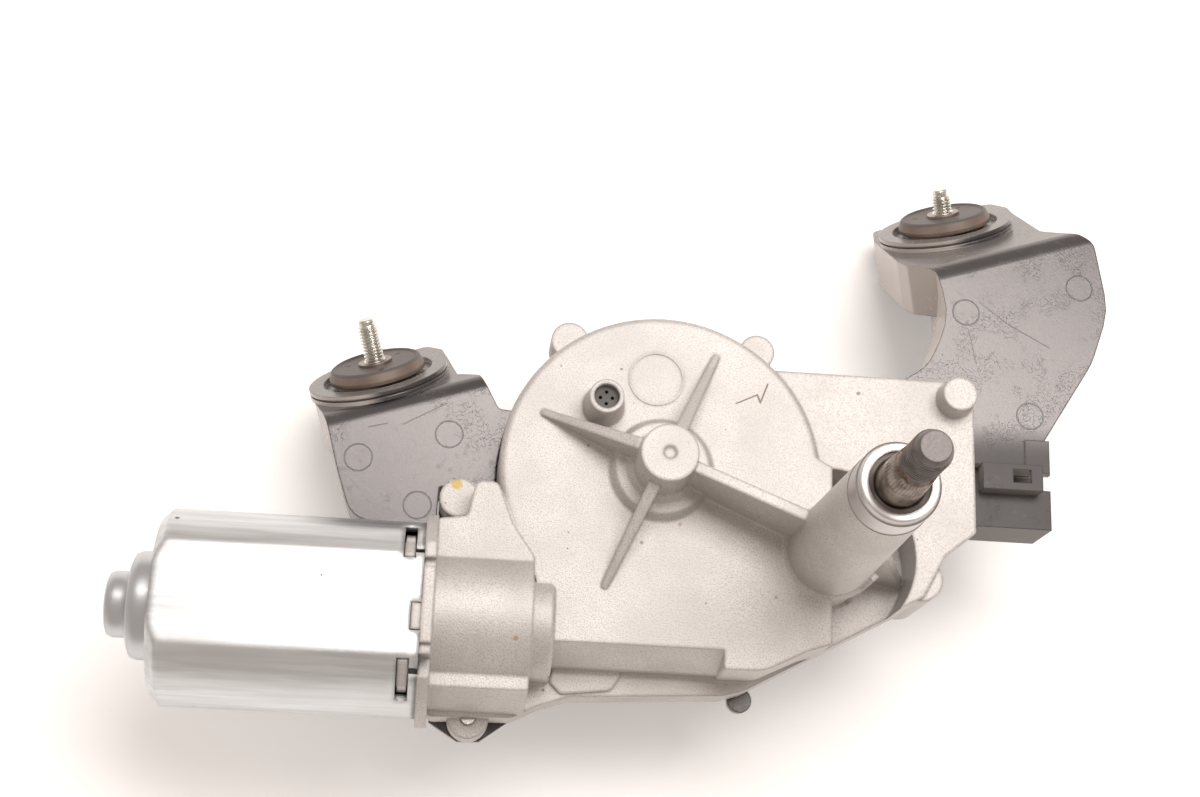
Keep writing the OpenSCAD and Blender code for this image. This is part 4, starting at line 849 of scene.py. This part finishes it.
# %% [markdown]
# Behind the can's two windows the casting has raised pads, which the sheet is clinched against.
# Each is a small block with rounded edges that stands on the flange's spigot. Beside each pad a
# steel tab of the magnet's clip shows, a little deeper.

# %% Clinch pads
PAD_X = -69.0
PAD_LENGTH = 2.9
PAD_HEIGHT = 4.6
PAD_ROUNDING = 0.35


def clinch_pad(name, angle, width, radius, mat):
    bm = bmesh.new()
    bmesh.ops.create_cube(bm, size=1.0)
    bmesh.ops.scale(bm, vec=(PAD_LENGTH, width, PAD_HEIGHT), verts=bm.verts)
    bmesh.ops.bevel(bm, geom=bm.edges[:], offset=PAD_ROUNDING, offset_type="OFFSET",
                    affect="EDGES", segments=3, profile=0.5, material=-1)
    bmesh.ops.translate(bm, vec=(PAD_X, 0.0, radius), verts=bm.verts)
    turn = Matrix.Rotation(math.radians(angle), 4, "X")
    to_frame = Matrix.Translation(MOTOR_AXIS) @ from_mm() @ turn
    finish_piece(bm, name, to_frame, mat, "housing")


cast = node_object["gear_housing"].material_slots[0].material
clinch_pad("clinch_pad_upper", -37.0, 5.6, 23.9, cast)
clinch_pad("clinch_pad_lower", 43.0, 8.6, 23.9, cast)
clinch_pad("clinch_tab_upper", -48.5, 4.8, 23.2, ground_steel)
clinch_pad("clinch_tab_lower", 56.5, 3.8, 23.0, ground_steel)

# %% [markdown]
# The motor lies on its back, so the table is level with the lowest point of the cover. It is
# pale, and so large that its edges are out of the photograph's view. A faint glow lifts it to the
# photograph's white. Only the camera and mirroring metal see it, so it lights nothing.

# %% Table
TABLE_SIZE = 8.0
TABLE_GAP = 0.0002
TABLE_GLOW = 0.22
lowest = cad_box[0]
print("lowest point", lowest)


def table_material():
    mat, tree, shader = start_finish("table_white", (0.93, 0.92, 0.91), roughness=0.7)
    rays = tree.nodes.new("ShaderNodeLightPath").outputs
    seen = calc(tree, "MAXIMUM", rays["Is Camera Ray"], rays["Is Glossy Ray"])
    seen = calc(tree, "MAXIMUM", seen, rays["Is Transmission Ray"])
    shader["Emission Color"].default_value = (1.0, 0.985, 0.97, 1)
    feed(tree, calc(tree, "MULTIPLY", seen, TABLE_GLOW), shader["Emission Strength"])
    return mat


table_mesh = bpy.data.meshes.new("table")
bm = bmesh.new()
bmesh.ops.create_grid(bm, x_segments=1, y_segments=1, size=TABLE_SIZE)
bmesh.ops.translate(bm, verts=bm.verts, vec=(0, 0, lowest[2] - TABLE_GAP))
bm.to_mesh(table_mesh)
bm.free()
table = bpy.data.objects.new("table", table_mesh)
bpy.context.scene.collection.objects.link(table)
table.data.materials.append(table_material())

# %% [markdown]
# The photograph's light is one soft box above the motor, a little to the far side. It stands
# where the black arms' faces mirror it into the lens, which is why they look grey while their
# folds stay dark. A warm, pale world fills the shadows, as the room and the table did.

# %% Lamp and world
ROOM_COLOR = (1.0, 0.885, 0.81, 1)
ROOM_STRENGTH = 0.62
SOFT_BOX_PLACE = Vector((0.13, 0.37, 0.95))
SOFT_BOX_TARGET = Vector((0, 0, -0.05))
SOFT_BOX_SIZE = (0.84, 0.46)
SOFT_BOX_WATTS = 10.5
SOFT_BOX_COLOR = (1.0, 0.96, 0.94)

world = bpy.data.worlds.new("studio")
bpy.context.scene.world = world
world.use_nodes = True
background = world.node_tree.nodes["Background"].inputs
background["Color"].default_value = ROOM_COLOR
background["Strength"].default_value = ROOM_STRENGTH

lamp_data = bpy.data.lights.new("soft_box", "AREA")
lamp_data.shape = "RECTANGLE"
lamp_data.size, lamp_data.size_y = SOFT_BOX_SIZE
lamp_data.energy = SOFT_BOX_WATTS
lamp_data.color = SOFT_BOX_COLOR
lamp = bpy.data.objects.new("soft_box", lamp_data)
lamp.location = SOFT_BOX_PLACE
aim = SOFT_BOX_TARGET - SOFT_BOX_PLACE
lamp.rotation_euler = aim.to_track_quat("-Z", "Y").to_euler()
bpy.context.scene.collection.objects.link(lamp)
bpy.context.scene.view_settings.view_transform = "Standard"
print("lamp", lamp.name, "aimed at", tuple(SOFT_BOX_TARGET))
